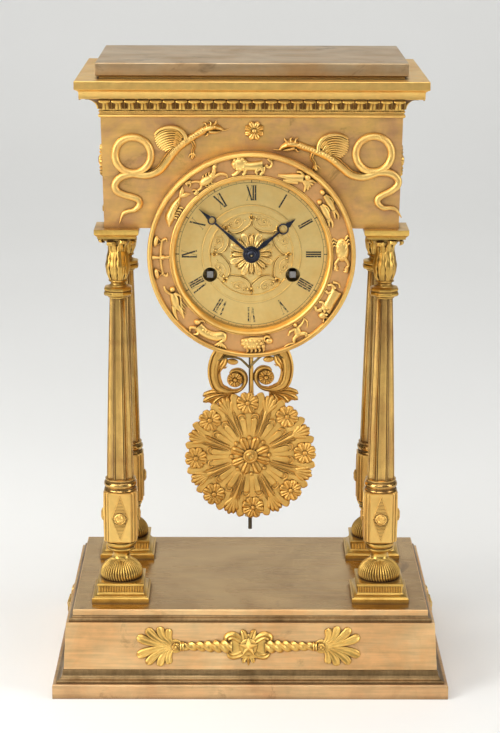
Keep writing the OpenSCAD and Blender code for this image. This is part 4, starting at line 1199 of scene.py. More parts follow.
def twins():
    s = Shape()
    for x, y in ((-1.4, 1.9), (1.2, -2.2)):
        limb(s, [(x - 4.2, y + 0.2), (x, y), (x + 4.4, y - 0.2)], 1.0, 1.35, 0.8, 1.5)
        lump(s, x - 5.8, y + 0.3, 1.15, 1.15, 1.9)
        limb(s, [(x + 4.0, y), (x + 6.4, y + 0.5), (x + 8.6, y - 0.2)], 0.8, 0.55, 0.4)
        limb(s, [(x + 3.8, y - 0.6), (x + 5.8, y - 1.1), (x + 7.6, y - 1.5)], 0.7, 0.5, 0.4)
        limb(s, [(x - 3.6, y + 0.4), (x - 1.6, y + 1.9), (x + 0.8, y + 1.6)], 0.55, 0.45, 0.4)
    return s


def crab():
    s = Shape()
    lump(s, 0, 0, 5.0, 3.0, 2.0)
    curls(s, [(3.6 * math.cos(k), 2.0 * math.sin(k)) for k in steps(9, 0, 5.6)], 0.8, 1.8)
    for side in (-1, 1):
        for k in range(3):
            x = 1.2 + 1.7 * k
            limb(s, [(x, side * 2.0), (x + 1.6, side * 3.6), (x + 0.6, side * 4.3)], 0.5, 0.4, 0.25, 1.0)
        limb(s, [(-4.0, side * 1.4), (-6.8, side * 3.2), (-8.6, side * 2.2)], 0.7, 0.6, 0.5)
        limb(s, [(-8.2, side * 2.4), (-9.8, side * 2.6), (-10.2, side * 1.2)], 1.0, 0.8, 0.2)
    return s


def bull():
    s = Shape()
    limb(s, [(-5.6, 0.9), (0, 0.6), (5.4, 1.2)], 2.3, 2.0, 2.3, 1.8)
    lump(s, 7.6, 1.4, 1.9, 1.5, 2.0, -30)
    for side in (-1, 1):
        limb(s, [(7.6, 2.6), (8.4 + side * 1.2, 3.9), (8.0 + side * 1.6, 4.6)], 0.4, 0.35, 0.15)
    for x, bend in ((-6.0, -1.6), (-4.0, 1.0), (3.8, -1.2), (5.8, 1.8)):
        limb(s, [(x, -0.6), (x + bend, -2.4), (x + bend * 0.3, -4.1)], 1.1, 0.6, 0.55)
    limb(s, [(-7.6, 1.6), (-9.2, 0.4), (-9.0, -2.4)], 0.5, 0.35, 0.6)
    curls(s, [(4.4, 2.2), (5.4, 0.8), (6.2, 2.6), (3.6, 0.9)], 0.7, 1.9)
    return s


def archer():
    s = Shape()
    limb(s, [(0.4, 2.2), (0, 0.2), (-0.6, -1.4)], 1.2, 1.4, 1.2, 1.6)
    lump(s, 0.9, 3.7, 1.0, 1.1, 1.9)
    limb(s, [(0.6, 1.9), (3.6, 2.2), (6.4, 3.4)], 0.7, 0.5, 0.4)
    limb(s, [(0, 1.8), (-3.0, 2.0), (-4.8, 0.4)], 0.7, 0.5, 0.4)
    limb(s, [(5.0, -0.6), (6.8, 1.6), (6.4, 4.2)], 0.3, 0.4, 0.3, 1.0)
    limb(s, [(-0.4, -1.2), (-3.0, -2.2), (-3.6, -4.2)], 1.0, 0.75, 0.45)
    limb(s, [(-3.6, -4.2), (-6.0, -3.6), (-8.4, -4.1)], 0.45, 0.4, 0.3, 1.0)
    limb(s, [(0.2, -1.2), (2.6, -2.6), (2.4, -4.2), (4.0, -4.2)], 1.0, 0.7, 0.4)
    return s


def ram():
    s = Shape()
    limb(s, [(-7.0, 0.9), (-2.0, 0.5), (4.0, 0.9)], 1.5, 2.6, 2.0, 1.8)
    curls(s, [(x, 1.9 - 1.5 * (i % 3)) for i, x in enumerate(steps(14, -6.4, 3.4))], 0.9, 1.8)
    lump(s, 6.4, 1.0, 1.9, 1.5, 2.0, -20)
    limb(s, spiral(5.6, 2.0, 1.7, 1.7, steps(9, 0.4, 6.0), 12), 0.6, 0.5, 0.25, 2.1)
    for x in (-4.2, -2.4, -0.6, 1.2, 3.0):
        limb(s, [(x, -1.4), (x + 0.4, -3.0), (x, -4.2)], 0.6, 0.5, 0.3, 1.2)
    return s


def sea_goat():
    s = Shape()
    limb(s, [(-6.4, 0.4), (-1.6, -0.4), (3.0, 0.2), (6.2, 1.8), (7.6, 0.4), (6.2, -1.6)], 1.9, 1.9, 0.6, 1.7)
    lump(s, -8.0, 2.0, 1.5, 1.2, 2.0, 25)
    limb(s, [(-7.4, 3.0), (-5.8, 4.2), (-4.4, 3.6)], 0.4, 0.35, 0.15)
    limb(s, [(-6.6, -0.8), (-8.8, -2.2), (-8.0, -4.1)], 0.8, 0.55, 0.4)
    limb(s, [(-5.0, -1.0), (-4.6, -2.8), (-6.0, -4.1)], 0.8, 0.55, 0.4)
    for k in range(5):
        limb(s, [(6.2, -1.4), (5.4 + 0.9 * k, -3.0), (4.4 + 1.4 * k, -4.1)], 0.35, 0.5, 0.15, 1.1)
    curls(s, [(x, 0.6) for x in steps(5, -3.4, 4.0)], 0.8, 1.7)
    return s


def water_carrier():
    s = Shape()
    limb(s, [(-4.6, 1.6), (-1.4, 0.8), (1.8, -0.4)], 1.2, 1.7, 1.4, 1.7)
    lump(s, -6.6, 2.2, 1.2, 1.3, 2.0)
    limb(s, [(-4.2, 2.2), (-1.8, 4.0), (0.6, 3.2)], 0.7, 0.5, 0.4)
    limb(s, [(-4.4, 0.8), (-7.0, -1.0), (-9.4, -1.0)], 0.7, 0.5, 0.4)
    limb(s, [(1.4, -0.2), (4.8, 0.2), (8.4, -1.2)], 1.3, 0.8, 0.4)
    limb(s, [(1.2, -1.0), (3.6, -2.8), (7.2, -4.0)], 1.2, 0.8, 0.4)
    for k in range(3):
        limb(s, [(0.6, 3.2), (2.6 + k, 3.0 - k), (5.0 + 1.4 * k, 3.6 - 1.2 * k)], 0.3, 0.3, 0.1, 0.9)
    return s


def scales():
    s = Shape()
    limb(s, [(-8.6, 0.2), (0, 0), (8.6, 0.2)], 0.45, 0.55, 0.45, 1.4)
    limb(s, [(0, -4.0), (0, 0), (0, 4.2)], 0.8, 0.5, 0.7, 1.5)
    lump(s, 0, 1.0, 1.1, 1.1, 1.9)
    for side in (-1, 1):
        for dx in (-1.7, 1.7):
            limb(s, [(side * 7.4, 0.2), (side * 7.4 + dx, -2.2)], 0.2, 0.2, 0.2, 0.9)
        lump(s, side * 7.4, -2.8, 2.3, 1.1, 1.7)
        limb(s, [(side * 8.4, 0.4), (side * 9.4, 1.8), (side * 8.0, 2.6)], 0.5, 0.5, 0.3)
    return s


def fish():
    s = Shape()
    body = [(-9.2, -1.8), (-4.0, -0.2), (2.0, 0.4), (6.6, 0.9)]
    s.add(blade(spline(body, 8), [(0, 0.5), (0.3, 2.5), (0.6, 2.1), (1, 0.6)],
                [(0, 1.0), (0.3, 2.2), (0.7, 1.8), (1, 0.9)], "soft", across=12))
    for x in steps(7, -6.0, 3.6):
        for y in (-1.0, 0.1, 1.2):
            s.add(ball(0.55, 0.42, 0.4, 8, 5), at(x + 0.4 * y, y * (1 - abs(x + 2) / 11) - 0.1, 1.75 - 0.3 * abs(y)))
    for end in ((10.2, 3.6), (10.6, -1.8)):
        limb(s, [(6.2, 0.9), (8.2, 0.9 + (end[1] - 0.9) * 0.4), end], 0.6, 1.0, 0.2)
    for x in steps(4, -4.4, 1.6):
        limb(s, [(x, -1.8), (x + 0.8, -3.0), (x + 0.4, -4.0)], 0.4, 0.45, 0.15, 0.9)
    return s


def scorpion():
    s = Shape()
    lump(s, -1.2, -1.2, 3.4, 1.9, 1.9)
    limb(s, [(1.6, -0.8), (3.8, 0.8), (5.0, 3.6), (6.6, 4.4)], 1.2, 0.8, 0.3, 1.7)
    for x in steps(4, 2.0, 5.4):
        curls(s, [(x, -0.6 + (x - 2) * 1.1)], 0.8, 1.7)
    for side in (-1, 1):
        limb(s, [(-3.6, -0.8), (-5.4, -0.8 + side * 1.9), (-8.0, side * 2.6 - 0.2)], 0.6, 0.5, 0.5)
        limb(s, [(-7.6, side * 2.6 - 0.2), (-9.2, side * 3.4), (-9.8, side * 2.0)], 0.9, 0.8, 0.2)
        limb(s, [(-7.8, side * 2.4 - 0.2), (-8.8, side * 1.2), (-9.8, side * 1.0)], 0.5, 0.4, 0.2)
        for k in range(3):
            x = -2.2 + 1.6 * k
            leg = [(x, side - 1.2), (x + side * 0.6, side * 2.4 - 1.2), (x + 1.4, side * 3.0 - 1.2)]
            limb(s, leg, 0.45, 0.4, 0.2, 1.0)
    limb(s, [(2.0, -1.4), (5.6, -1.0), (8.6, -2.2), (9.2, -4.0)], 0.8, 0.6, 0.4)
    return s


def bent(shape, clock_angle, upright):
    """Lays a small relief round the bezel; upright ones have their feet inward."""
    s = Shape()
    sign = 1 if upright else -1
    middle = rad(90 - clock_angle)
    for x, y, z in shape.verts:
        r, a = relief_mid + sign * y * relief_up, middle - sign * x * relief_across / relief_mid
        s.verts.append((r * math.cos(a), r * math.sin(a), field_front + z * relief_out))
    s.faces = shape.faces
    return s


# Each relief's angle from twelve o'clock, its figure, and whether its feet point inward.
RELIEFS = [
    (0, lion, True), (29, reclining, True), (57, twins, True), (86, crab, False), (120, bull, True),
    (149, archer, False), (177, ram, False), (208, sea_goat, False), (238, water_carrier, False),
    (269, scales, False), (302, fish, True), (331, scorpion, True),
]
for number, (clock_angle, figure, upright) in enumerate(RELIEFS, 1):
    piece(
        f"bezel_relief_{number:02d}_{figure.__name__}",
        on_face(bent(figure(), clock_angle, upright)),
        chased, nodes=["zodiac_reliefs"] if number == 1 else (), smooth=60,
    )


# ---- Dial -----------------------------------------------------------------

winding_x, winding_y, winding_hole = 25.6, -12.9, 4.5
winding_angle = math.degrees(math.atan2(winding_y, winding_x))
winding_r = math.hypot(winding_x, winding_y)


def arc_band(profile, start, end, n=120):
    """A turned form that covers only part of the circle."""
    rings = []
    for a in steps(n, rad(start), rad(end)):
        rings.append([(r * math.cos(a), r * math.sin(a), z) for r, z in profile])
    return loft(rings)


def line(points, width, height):
    """A raised chased line on the dial."""
    widths = [(0, width * 0.6), (0.2, width), (0.8, width), (1, width * 0.6)]
    return blade(points, widths, even(height, height), "round")


keep(dial_metal, "dial")
ring_profile = raised(
    dial_front, (25.3, -0.2), (25.4, 0.32), (25.7, 0.92), (26.3, 0.92), (26.6, 0.22), (27.0, 0.52), (27.4, 0.12),
    (29.8, 0.12), (30.1, 0.82), (30.6, 0.82), (30.9, 0.12), (31.0, -0.2),
)
gap = math.degrees(math.asin((winding_hole + 0.25) / winding_r))
dial_ring = Shape()
dial_ring.add(arc_band(ring_profile, winding_angle + gap, 180 - winding_angle - gap, 200))
dial_ring.add(arc_band(ring_profile, 180 - winding_angle + gap, 360 + winding_angle - gap))
piece("dial_centre_ring", on_face(dial_ring), dial_metal, smooth=40)

relief = Shape()
for i in range(8):
    sector = Shape()
    for inset, wide in ((0.0, 0.32), (1.1, 0.2)):
        strap = [(0.5, 21.2 - inset), (1.7, 17.4 - inset), (5.4, 14.9 - inset), (9.6, 14.3 - inset * 1.2),
                 (13.2 - inset * 0.4, 14.2 - inset), (14.8, 15.6 - inset * 0.4)]
        sector.add(line(spline(strap, 5), wide, 0.45))
    relief.add(sector, turn(-45 * i) @ at(z=dial_front))
    scroll = Shape()
    scroll.add(line(spiral(8.2, 20.4, 2.6, 2.2, steps(16, 0, 7), 9), 0.3, 0.42))
    scroll.add(line(spiral(4.3, 22.2, -1.9, 1.7, steps(14, 0, 6.6), 9), 0.26, 0.38))
    scroll.add(line(spline([(11.0, 20.6), (10.4, 18.2), (7.4, 17.4), (4.2, 18.6), (2.4, 21.8)], 5), 0.26, 0.4))
    for x, y, r in ((2.4, 21.9, 0.75), (8.6, 20.4, 0.6), (12.2, 17.9, 0.6)):
        scroll.add(ball(r, r, r * 0.9, 12, 8), at(x, y, 0.1))
    relief.add(scroll, turn(-45 * i) @ at(z=dial_front))
for i in range(8):
    bud = Shape()
    for slant in (-34, 0, 34):
        bud.add(petal(0.3, 3.0 if slant else 4.0, 0.55, 0.7, "ridge"), turn(90 + slant))
    bud.add(ball(0.8, 0.8, 0.8, 12, 8), at(z=0.2))
    relief.add(bud, turn(-45 * i) @ at(0, 21.4, dial_front))
notch = petal(0, 1.9, 0.4, 0.75, "ridge")
for i in range(16):
    reach, half = (12.2, 1.7) if i % 2 else (14.4, 2.3)
    way = turn(22.5 * i + 22.5)
    relief.add(petal(3.4, reach, half, 0.75, "vein", points=12), way @ at(z=dial_front))
    for k in range(5):
        for side in (-1, 1):
            relief.add(notch, way @ at(6.0 + 1.4 * k, side * 0.35, dial_front + 0.1) @ turn(side * 42))
chasing_depth = 1.9  # the lines stand this many times higher than drawn
deeper = at(z=dial_front) @ stretch(z=chasing_depth) @ at(z=-dial_front)
piece("dial_centre_chasing", on_face(Shape().add(relief, deeper)), dial_metal, smooth=60)


def bar(x0, y0, x1, y1, width, z0=0.0, z1=0.09):
    """A straight inked stroke."""
    d = Vector((x1 - x0, y1 - y0)).normalized() * width / 2
    return prism([(x0 - d.y, y0 + d.x), (x1 - d.y, y1 + d.x), (x1 + d.y, y1 - d.x), (x0 + d.y, y0 - d.x)], z0, z1)


numeral_low, numeral_high = 33.7, 43.0  # radii of the numerals' feet and heads
STROKE, HAIR = 0.92, 0.12  # widths of the broad and the thin strokes
ADVANCE = {"I": 1.36, "V": 3.4, "X": 3.4}


def glyph(letter):
    """One Roman letter, its middle at x = 0 and its foot at y = 0."""
    s = Shape()
    h, w = numeral_high - numeral_low, ADVANCE[letter] - 0.5
    if letter == "I":
        s.add(bar(0, 0, 0, h, STROKE))
        for y in (0.08, h - 0.08):
            s.add(bar(-0.62, y, 0.62, y, HAIR, 0.0, 0.1))
    elif letter == "V":
        s.add(bar(-w / 2, h, 0, 0, STROKE))
        s.add(bar(w / 2, h, 0, 0, HAIR, 0.0, 0.1))
        for x in (-w / 2, w / 2):
            s.add(bar(x - 0.7, h - 0.08, x + 0.7, h - 0.08, HAIR, 0.0, 0.11))
    else:
        s.add(bar(-w / 2, h, w / 2, 0, STROKE))
        s.add(bar(w / 2, h, -w / 2, 0, HAIR, 0.0, 0.1))
        for x in (-w / 2, w / 2):
            for y in (0.08, h - 0.08):
                s.add(bar(x - 0.65, y, x + 0.65, y, HAIR, 0.0, 0.11))
    return s


NUMERALS = ["XII", "I", "II", "III", "IIII", "V", "VI", "VII", "VIII", "IX", "X", "XI"]
inked = Shape()
for hour, word in enumerate(NUMERALS):
    x = -sum(ADVANCE[c] for c in word) / 2
    for letter in word:
        x += ADVANCE[letter] / 2
        inked.add(glyph(letter), turn(-30 * hour) @ at(x, numeral_low, dial_front + 0.01))
        x += ADVANCE[letter] / 2
for minute in range(60):
    five = minute % 5 == 0
    mark = bar(0, 44.75 if five else 45.0, 0, 46.7 if five else 46.2, 0.5 if five else 0.13)
    inked.add(mark, turn(-6 * minute) @ at(z=dial_front + 0.01))
piece("dial_numerals", on_face(inked), ink)
track = Shape()
for r, wide in ((44.7, 0.09), (46.3, 0.07)):
    circle = raised(dial_front, (r - wide, 0), (r - wide, 0.07), (r + wide, 0.07), (r + wide, 0))
    track.add(lathe(circle, 192, loop=True))
piece("dial_minute_track", on_face(track), ink_worn)


# ---- Hands ----------------------------------------------------------------

# The turn from twelve o'clock in degrees, and how far in front of the clock's middle each hand lies.
minute_turn, minute_plane = -311.6, 55.8
hour_turn, hour_plane = -50.5, 54.1


def hand(stem, ring_at, ring_r, ring_wide, spear, hub_r, bore, thick):
    """A pierced hand along +Y: stem widths, a ring, a spear tip and a hub."""
    s = Shape()
    for widths in (stem, spear):
        outline = [(w, y) for y, w in widths] + [(-w, y) for y, w in reversed(widths)]
        s.add(prism(outline, 0.0, thick, 0.16))
    wire = [(ring_r - ring_wide + ring_wide * x, thick / 2 + thick / 2 * y) for x, y in ring_points(1, 8)]
    s.add(lathe(wire, 48, loop=True), at(0, ring_at, 0))
    hub = [(bore, 0), (hub_r, 0), (hub_r, thick - 0.2), (hub_r - 0.3, thick), (bore, thick)]
    s.add(lathe(hub, 64, loop=True))
    return s


minute_shape = hand(
    [(3.0, 1.15), (9.0, 0.75), (13.0, 0.95), (16.5, 1.2), (20.0, 0.8), (25.0, 0.55), (30.3, 0.62)],
    32.6, 2.75, 0.5, [(34.9, 1.35), (36.0, 1.2), (38.5, 0.7), (43.2, 0.06)], 3.8, 1.3, 0.7,
)
hour_shape = hand(
    [(4.6, 1.0), (7.0, 0.8), (10.5, 1.5), (14.0, 1.0), (18.0, 0.62), (22.2, 0.7)],
    25.3, 3.45, 0.45, [(28.3, 1.3), (29.2, 1.75), (31.2, 1.0), (34.9, 0.06)], 5.1, 3.05, 0.8,
)
piece("hand_minute", Shape().add(minute_shape, facing(0, -minute_plane, dial_z) @ turn(minute_turn)), blued,
      body="hands", nodes=["minute_hand"])
piece("hand_hour", Shape().add(hour_shape, facing(0, -hour_plane, dial_z) @ turn(hour_turn)), blued,
      body="hour_pipe", nodes=["hour_hand"])
collet = [(0.85, 0.7), (2.6, 0.7), (2.7, 1.1), (2.3, 1.5), (1.7, 1.7), (1.5, 2.1), (0.85, 2.1)]
piece("hand_collet_dome", on_face(lathe(raised(minute_plane, *collet), 48, loop=True)), blued,
      body="hands", nodes=["hand_collet"])


# ---- Pendulum -------------------------------------------------------------

rod_low, rod_high = box("pendulum_rod")
crest_front = (rod_low.y + rod_high.y) / 2 - 1.25
bob_front = crest_front - 4.4
bob_z = 135.0
crest_z = bob_z + 52.6


def broad(r0, r1, half, height, section, z, foot=0.45, tip=0.45):
    """A wide petal with a rounded end, from radius r0 to r1 along +X."""
    path = [(mix(r0, r1, t), 0.0) for t in steps(12)]
    width = [(0, half * foot), (0.35, half * 0.82), (0.72, half), (0.9, half * 0.86), (1, half * tip)]
    rise = [(0, height * 0.55), (0.35, height * 0.9), (0.85, height), (1, height * 0.45)]
    return blade(path, width, rise, section, z, across=10)


def outer_leaf():
    """The serrated acanthus leaf at the outside of a crest scroll."""
    s = Shape()
    rim = [(-12, -7), (-19, -4.6), (-24.6, -5.8), (-25.4, -8.4), (-31.6, -11.8), (-28.8, -13.4), (-31.2, -16.2),
           (-27.0, -16.4), (-24.6, -18.2), (-20.6, -16.6), (-17.4, -17.6), (-12, -15)]
    s.add(prism(rim, 0.0, 1.5, 0.6))
    for tip, bend, half in (
        ((-25.0, -6.0), (-20.0, -7.4), 1.9), ((-31.4, -11.8), (-24.0, -9.6), 2.3),
        ((-31.2, -16.0), (-24.0, -12.2), 2.2), ((-24.8, -18.0), (-20.6, -13.8), 2.1),
        ((-17.4, -17.4), (-16.2, -14.6), 1.8),
    ):
        path = spline([(-13.0, -10.0), bend, tip], 7)
        s.add(blade(path, [(0, 1.4), (0.5, half), (0.85, half * 0.85), (1, 0.3)], [(0, 2.4), (0.6, 2.1), (1, 1.5)],
                    "vein", 0.4, across=10))
    return s


def crest_scroll():
    """The left scroll, drawn about the middle of the crest."""
    s = Shape()
    path = spline(
        [(-18.6, 19.6), (-22.0, 14.0), (-23.8, 7.4), (-23.6, 0.6), (-21.4, -5.4), (-16.6, -8.2), (-11.4, -8.7),
         (-6.6, -7.2), (-3.9, -3.4), (-3.4, 0.6), (-5.0, 4.0), (-8.2, 5.8), (-11.6, 5.4), (-13.8, 3.6)], 8)
    wide = [(0, 4.4), (0.15, 4.3), (0.28, 4.2), (0.38, 3.2), (0.46, 1.7), (0.54, 1.2), (0.66, 1.7), (0.8, 1.8),
            (0.92, 1.2), (1, 0.5)]
    s.add(blade(path, wide, [(0, 2.2), (0.4, 2.4), (1, 1.9)], "soft", 0.6, across=14))
    for shift, w, short in ((0.62, 0.42, 10), (-0.7, 0.4, 10), (0.1, 0.3, 30)):
        lines = []
        for i, (x, y) in enumerate(path[:-short]):
            nx, ny = path[i + 1][0] - x, path[i + 1][1] - y
            length = math.hypot(nx, ny)
            reach = along(wide, i / (len(path) - 1)) * shift
            lines.append((x - ny / length * reach, y + nx / length * reach))
        s.add(blade(lines, [(0, w * 0.6), (0.3, w), (1, 0.2)], [(0, 1.9), (0.3, 2.3), (1, 1.6)], "round", 0.9))
    rosette = Shape().add(lathe([(0, 0.3), (5.0, 0.3), (5.3, 1.0), (5.0, 1.6), (0, 1.8)], 40))
    rosette.around(broad(0.9, 4.9, 1.75, 1.5, "vein", 1.3), 8, turn(10))
    rosette.add(ball(1.3, 1.3, 1.1), at(z=2.8))
    s.add(rosette, at(-10.2, -0.6, 0))
    s.add(outer_leaf())
    lobe = spline([(-21.6, 2.0), (-20.0, 7.4), (-17.8, 10.8), (-16.6, 14.6)], 6)
    s.add(blade(lobe, [(0, 0.8), (0.5, 2.6), (0.85, 2.4), (1, 0.8)], [(0, 1.4), (0.6, 2.2), (1, 1.4)], "vein", 1.0))
    spur = spline([(-18.6, 8.0), (-16.8, 7.2), (-15.4, 8.0)], 4)
    s.add(blade(spur, even(1.0, 0.2), even(1.8, 0.9), "round", 0.6))
    s.add(ball(3.7, 2.1, 1.9, 18, 10), at(-11.8, 11.6, 1.4) @ turn(-6))
    s.add(ball(2.4, 1.3, 1.4, 16, 8), at(-12.6, 12.2, 2.4) @ turn(-6))
    return s


left_scroll = crest_scroll()
crest = Shape()
crest.add(left_scroll)
crest.add(left_scroll, at(0, 1.8, 0) @ stretch(-1, 1, 1))
crest.add(mitred(5.0, 1.9, [(0, 0.4), (0, 2.0), (-0.5, 2.6)]), at(0, 16.9, 0))
stem = lathe([(1.25, -14.0), (1.35, -9.0), (1.2, 0.0), (1.1, 8.0), (1.0, 20.0)], 16)
crest.add(stem, at(0.7, 0, 1.3) @ turn(-90, "X"))
piece("pendulum_crest_scrolls", Shape().add(crest, facing(0, crest_front - 0.1, crest_z)), ochre, body="pendulum",
      nodes=["pendulum_crest"], smooth=50)
sprigs = Shape()
for side in (-1, 1):
    lift = 1.8 if side == 1 else 0.0
    branch = ((0.4, 7.6), (3.2, 10.4), (6.8, 13.6), (11.6, 14.8), (16.6, 14.4), (21.4, 12.6))
    sprigs.add(tube(spline([(side * x, y + lift, 2.4) for x, y in branch], 6), even(0.85, 0.75, 0.4), 10))
    leaf = [(side * x, y + lift) for x, y in ((8.6, 14.6), (13.0, 15.6), (19.0, 14.6))]
    sprigs.add(blade(spline(leaf, 6), even(0.3, 1.4, 0.3), even(0.8, 1.4, 0.6), "vein", 1.8))
piece("pendulum_crest_sprigs", Shape().add(sprigs, facing(0, crest_front - 0.1, crest_z)), bronze, body="pendulum",
      smooth=50)


def bob_outline(a):
    """Edge of the plate behind the flowers, lobes and palmettes."""
    edge = [(0, 38.6), (6, 38.2), (8.5, 39.0), (12, 40.2), (15.5, 39.2), (17, 37.6), (18.6, 39.0), (20.2, 38.4),
            (22.5, 40.2)]
    return along(edge, abs((math.degrees(a) + 22.5) % 45 - 22.5))


def bob_ornament():
    """Rosette, tongues, ribs, palmettes and flowers, drawn about the middle."""
    s = Shape()
    angles = [TAU * i / 360 for i in range(360)]
    s.add(prism([(bob_outline(a) * math.cos(a), bob_outline(a) * math.sin(a)) for a in angles], 0.0, 1.9, 0.8))
    s.add(lathe([(0, 1.3), (33, 1.6), (26, 2.2), (16, 2.7), (0, 3.0)], 96))
    bloom = Shape().add(lathe([(0, -0.6), (5.6, -0.6), (6.0, 0.2), (4.6, 0.7), (0, 0.9)], 36))
    bloom.around(broad(1.0, 7.1, 2.35, 1.5, "vein", 0.3), 8, turn(22.5))
    bloom.add(ball(1.5, 1.5, 1.0, 14, 8), at(z=1.7))
    bloom.add(ball(0.55, 0.55, 0.9, 10, 6), at(z=2.6))
    for a in range(0, 360, 45):
        s.add(broad(3.4, 12.7, 2.75, 2.0, "vein", 2.9, 0.5, 0.5), turn(a + 22.5))
        s.add(ball(1.35, 1.35, 1.3, 14, 8), turn(a) @ at(12.0, 0, 3.5))
        for side in (-1, 1):
            path = [(mix(13.2, 24.6, t), side * mix(2.2, 3.9, t)) for t in steps(12)]
            s.add(blade(path, [(0, 1.3), (0.5, 1.9), (0.85, 2.1), (0.95, 1.7), (1, 0.9)],
                        [(0, 0.9), (0.7, 1.9), (0.95, 1.7), (1, 0.7)], "dish", 2.1, across=14), turn(a))
            hook = [(24.2, side * 1.6), (26.2, side * 2.6), (26.8, side * 4.8), (25.4, side * 6.4), (23.8, side * 5.9)]
            s.add(blade(spline(hook, 5), even(0.4, 0.75, 0.5), even(1.2, 1.8, 1.4), "round", 1.7), turn(a))
            scallop = spline([(25.5, side * 5.6), (31.0, side * 8.0), (36.5, side * 8.6), (40.2, side * 7.6)], 6)
            s.add(blade(scallop, [(0, 0.8), (0.4, 2.0), (0.8, 2.5), (0.95, 2.0), (1, 1.0)],
                        [(0, 0.8), (0.5, 1.5), (0.9, 1.4), (1, 0.7)], "dish", 1.3, across=14), turn(a))
            edge = spline([(14.0, side * 1.55), (22.0, side * 2.0), (30.0, side * 2.9)], 6)
            s.add(blade(edge, [(0, 0.25), (0.6, 0.42), (1, 0.3)], [(0, 2.0), (0.6, 2.1), (1, 1.3)], "round", 1.5),
                  turn(a + 22.5))
        rib = spline([(12.6, 0), (20.0, 0), (27.0, 0), (33.0, 0)], 6)
        s.add(blade(rib, [(0, 0.8), (0.4, 1.2), (0.8, 1.9), (1, 1.3)], [(0, 1.7), (0.6, 1.9), (1, 1.0)], "soft", 1.6,
                    across=10), turn(a + 22.5))
        fan = turn(a + 22.5) @ at(28.4, 0, 0)
        for slant, length in ((-27, 10.0), (27, 10.0), (-13, 12.0), (13, 12.0), (0, 12.9)):
            s.add(broad(0.4, length, 1.9, 1.5 + length * 0.04, "soft", 1.3, 0.5, 0.35), fan @ turn(slant))
        s.add(bloom, turn(a) @ at(34.4, 0, 2.0))
    s.add(lathe([(0, 4.0), (4.3, 4.0), (4.6, 4.7), (4.1, 5.4), (3.4, 5.5), (2.9, 5.0), (2.2, 5.3), (1.7, 5.9),
                 (0.9, 5.6), (0.8, 6.1), (0, 6.2)], 48))
    return s


bob_scale, bob_rise, bob_turn = 1.045, 1.8, 3  # the ornament on the bob as the photograph has it
on_bob = facing(0, bob_front, bob_z + bob_rise) @ stretch(bob_scale, bob_scale, 1) @ turn(bob_turn)
ornament = Shape().add(bob_ornament(), on_bob)
for dz in (-34.2, 20.2):
    clip = Shape()
    clip.add(mitred(4.0, 3.0, [(0, 0.3), (0, 2.6), (-0.4, 3.0)]))
    ornament.add(clip, at(0, bob_front, bob_z + dz) @ turn(-90, "X"))
piece("pendulum_bob_rosette", ornament, ochre, body="bob", nodes=["pendulum_bob"], smooth=50)


# ---- CAD nodes that keep their shape --------------------------------------

keep(board, "base_board")
keep(matte, "frieze_box")
keep(movement_brass, "drum_case", "front_plate", "back_plate", "going_barrel", "strike_barrel",
     "intermediate_wheel", "centre_wheel", "third_wheel", "escape_wheel", "minute_wheel", "hour_wheel",
     "pin_wheel", "fly", "suspension_cock", "back_door", "rating_nut")
keep(steel, "going_arbor", "strike_arbor", "pallets", "cannon_pinion", "hammer", "door_pin")
keep(dark_steel, "pendulum_rod")
keep(bell_metal, "bell")


# ---- Room, light and camera -----------------------------------------------

WHITE = (1, 1, 1)


def backdrop():
    """A pale floor that sweeps up behind the clock."""
    wide, near, far, high, bend = 5.0, -6.0, 3.0, 3.5, 1.2
    line = [(near, 0.0), (far - bend, 0.0)]
    line += [(far - bend + bend * math.sin(rad(a)), bend - bend * math.cos(rad(a))) for a in range(6, 91, 6)]
    line += [(far, high)]
    verts = [(s * wide, y, z) for y, z in line for s in (-1, 1)]
    faces = [(2 * i, 2 * i + 1, 2 * i + 3, 2 * i + 2) for i in range(len(line) - 1)]
    mesh = bpy.data.meshes.new("floor")
    mesh.from_pydata(verts, [], faces)
    mesh.shade_smooth()
    n = Nodes("paper")
    tone = n.noise(1.5, 2)
    n.link(n.ramp(tone, (0.3, (0.88, 0.88, 0.855)), (0.7, (0.905, 0.905, 0.885))), n.bsdf.inputs["Base Color"])
    n.bsdf.inputs["Roughness"].default_value = 0.75
    mesh.materials.append(n.material)
    obj = bpy.data.objects.new("floor", mesh)
    bpy.context.scene.collection.objects.link(obj)


def softbox(name, place, target, width, height, power, colour):
    """A rectangular light that faces its target."""
    light = bpy.data.lights.new(name, "AREA")
    light.shape = "RECTANGLE"
    light.size, light.size_y = width, height
    light.energy = power
    light.color = colour
    obj = bpy.data.objects.new(name, light)
    obj.location = place
    obj.rotation_euler = (Vector(place) - Vector(target)).to_track_quat("Z", "Y").to_euler()
    bpy.context.scene.collection.objects.link(obj)


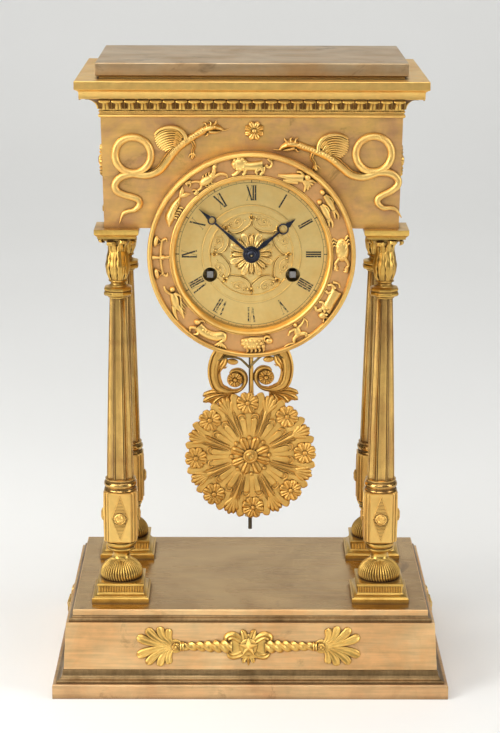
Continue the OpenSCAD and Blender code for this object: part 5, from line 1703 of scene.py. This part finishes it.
def sky():
    """Dim room light, brighter overhead; past the floor's edge the eye sees a pale wall."""
    world = bpy.data.worlds.new("room")
    world.use_nodes = True
    tree = world.node_tree
    back = tree.nodes["Background"]
    ramp = tree.nodes.new("ShaderNodeValToRGB")
    coords = tree.nodes.new("ShaderNodeTexCoord")
    split = tree.nodes.new("ShaderNodeSeparateXYZ")
    tree.links.new(coords.outputs["Generated"], split.inputs[0])
    tree.links.new(split.outputs["Z"], ramp.inputs[0])
    ramp.color_ramp.elements[0].color = (0.30, 0.30, 0.31, 1)
    ramp.color_ramp.elements[1].color = (0.9, 0.9, 0.92, 1)
    tree.links.new(ramp.outputs[0], back.inputs["Color"])
    back.inputs["Strength"].default_value = 0.19
    beyond = tree.nodes.new("ShaderNodeBackground")
    beyond.inputs["Color"].default_value = (0.62, 0.62, 0.59, 1)
    choose = tree.nodes.new("ShaderNodeMixShader")
    tree.links.new(tree.nodes.new("ShaderNodeLightPath").outputs["Is Camera Ray"], choose.inputs[0])
    tree.links.new(back.outputs[0], choose.inputs[1])
    tree.links.new(beyond.outputs[0], choose.inputs[2])
    tree.links.new(choose.outputs[0], tree.nodes["World Output"].inputs[0])
    bpy.context.scene.world = world


def camera():
    """The photograph's viewpoint: a long lens, a little above the clock."""
    yaw, pitch, roll = rad(0.26), rad(-14.39), rad(0.18)
    lens, sensor, place = 103.4, 36.0, (-0.00647, -1.3299, 0.5385)
    forward = Vector((math.sin(yaw) * math.cos(pitch), math.cos(yaw) * math.cos(pitch), math.sin(pitch)))
    right = Vector((math.cos(yaw), -math.sin(yaw), 0))
    up = right.cross(forward)
    right, up = right * math.cos(roll) + up * math.sin(roll), up * math.cos(roll) - right * math.sin(roll)
    data = bpy.data.cameras.new("camera")
    data.lens, data.sensor_width = lens, sensor
    data.clip_end = 50
    obj = bpy.data.objects.new("camera", data)
    obj.matrix_world = at(*place) @ Matrix((right, up, -forward)).transposed().to_4x4()
    bpy.context.scene.collection.objects.link(obj)
    bpy.context.scene.camera = obj


backdrop()
sky()
# Each light: its place and what it looks at in metres, its two sides, watts and colour.
LIGHTS = {
    "key": ((-1.15, -0.75, 0.85), (0, 0, 0.2), 0.7, 1.5, 18.6, (1.0, 0.985, 0.96)),
    "fill": ((1.35, -0.55, 0.8), (0, 0, 0.2), 0.5, 1.5, 10.8, WHITE),
    "top": ((-0.1, -0.1, 1.6), (0, 0, 0.2), 1.5, 0.9, 11, WHITE),
    "front": ((-0.25, -1.6, 1.25), (0, 0, 0.22), 1.1, 0.7, 7.2, WHITE),
    "backdrop_light": ((0, 1.4, 2.0), (0, 2.9, 0.8), 3.4, 1.0, 22, WHITE),
    "far_floor_light": ((0, -4.4, 2.4), (0, -4.6, 0), 6.0, 1.5, 24, WHITE),
}
for light_name, light in LIGHTS.items():
    softbox(light_name, *light)
camera()
bpy.context.scene.view_settings.view_transform = "Standard"
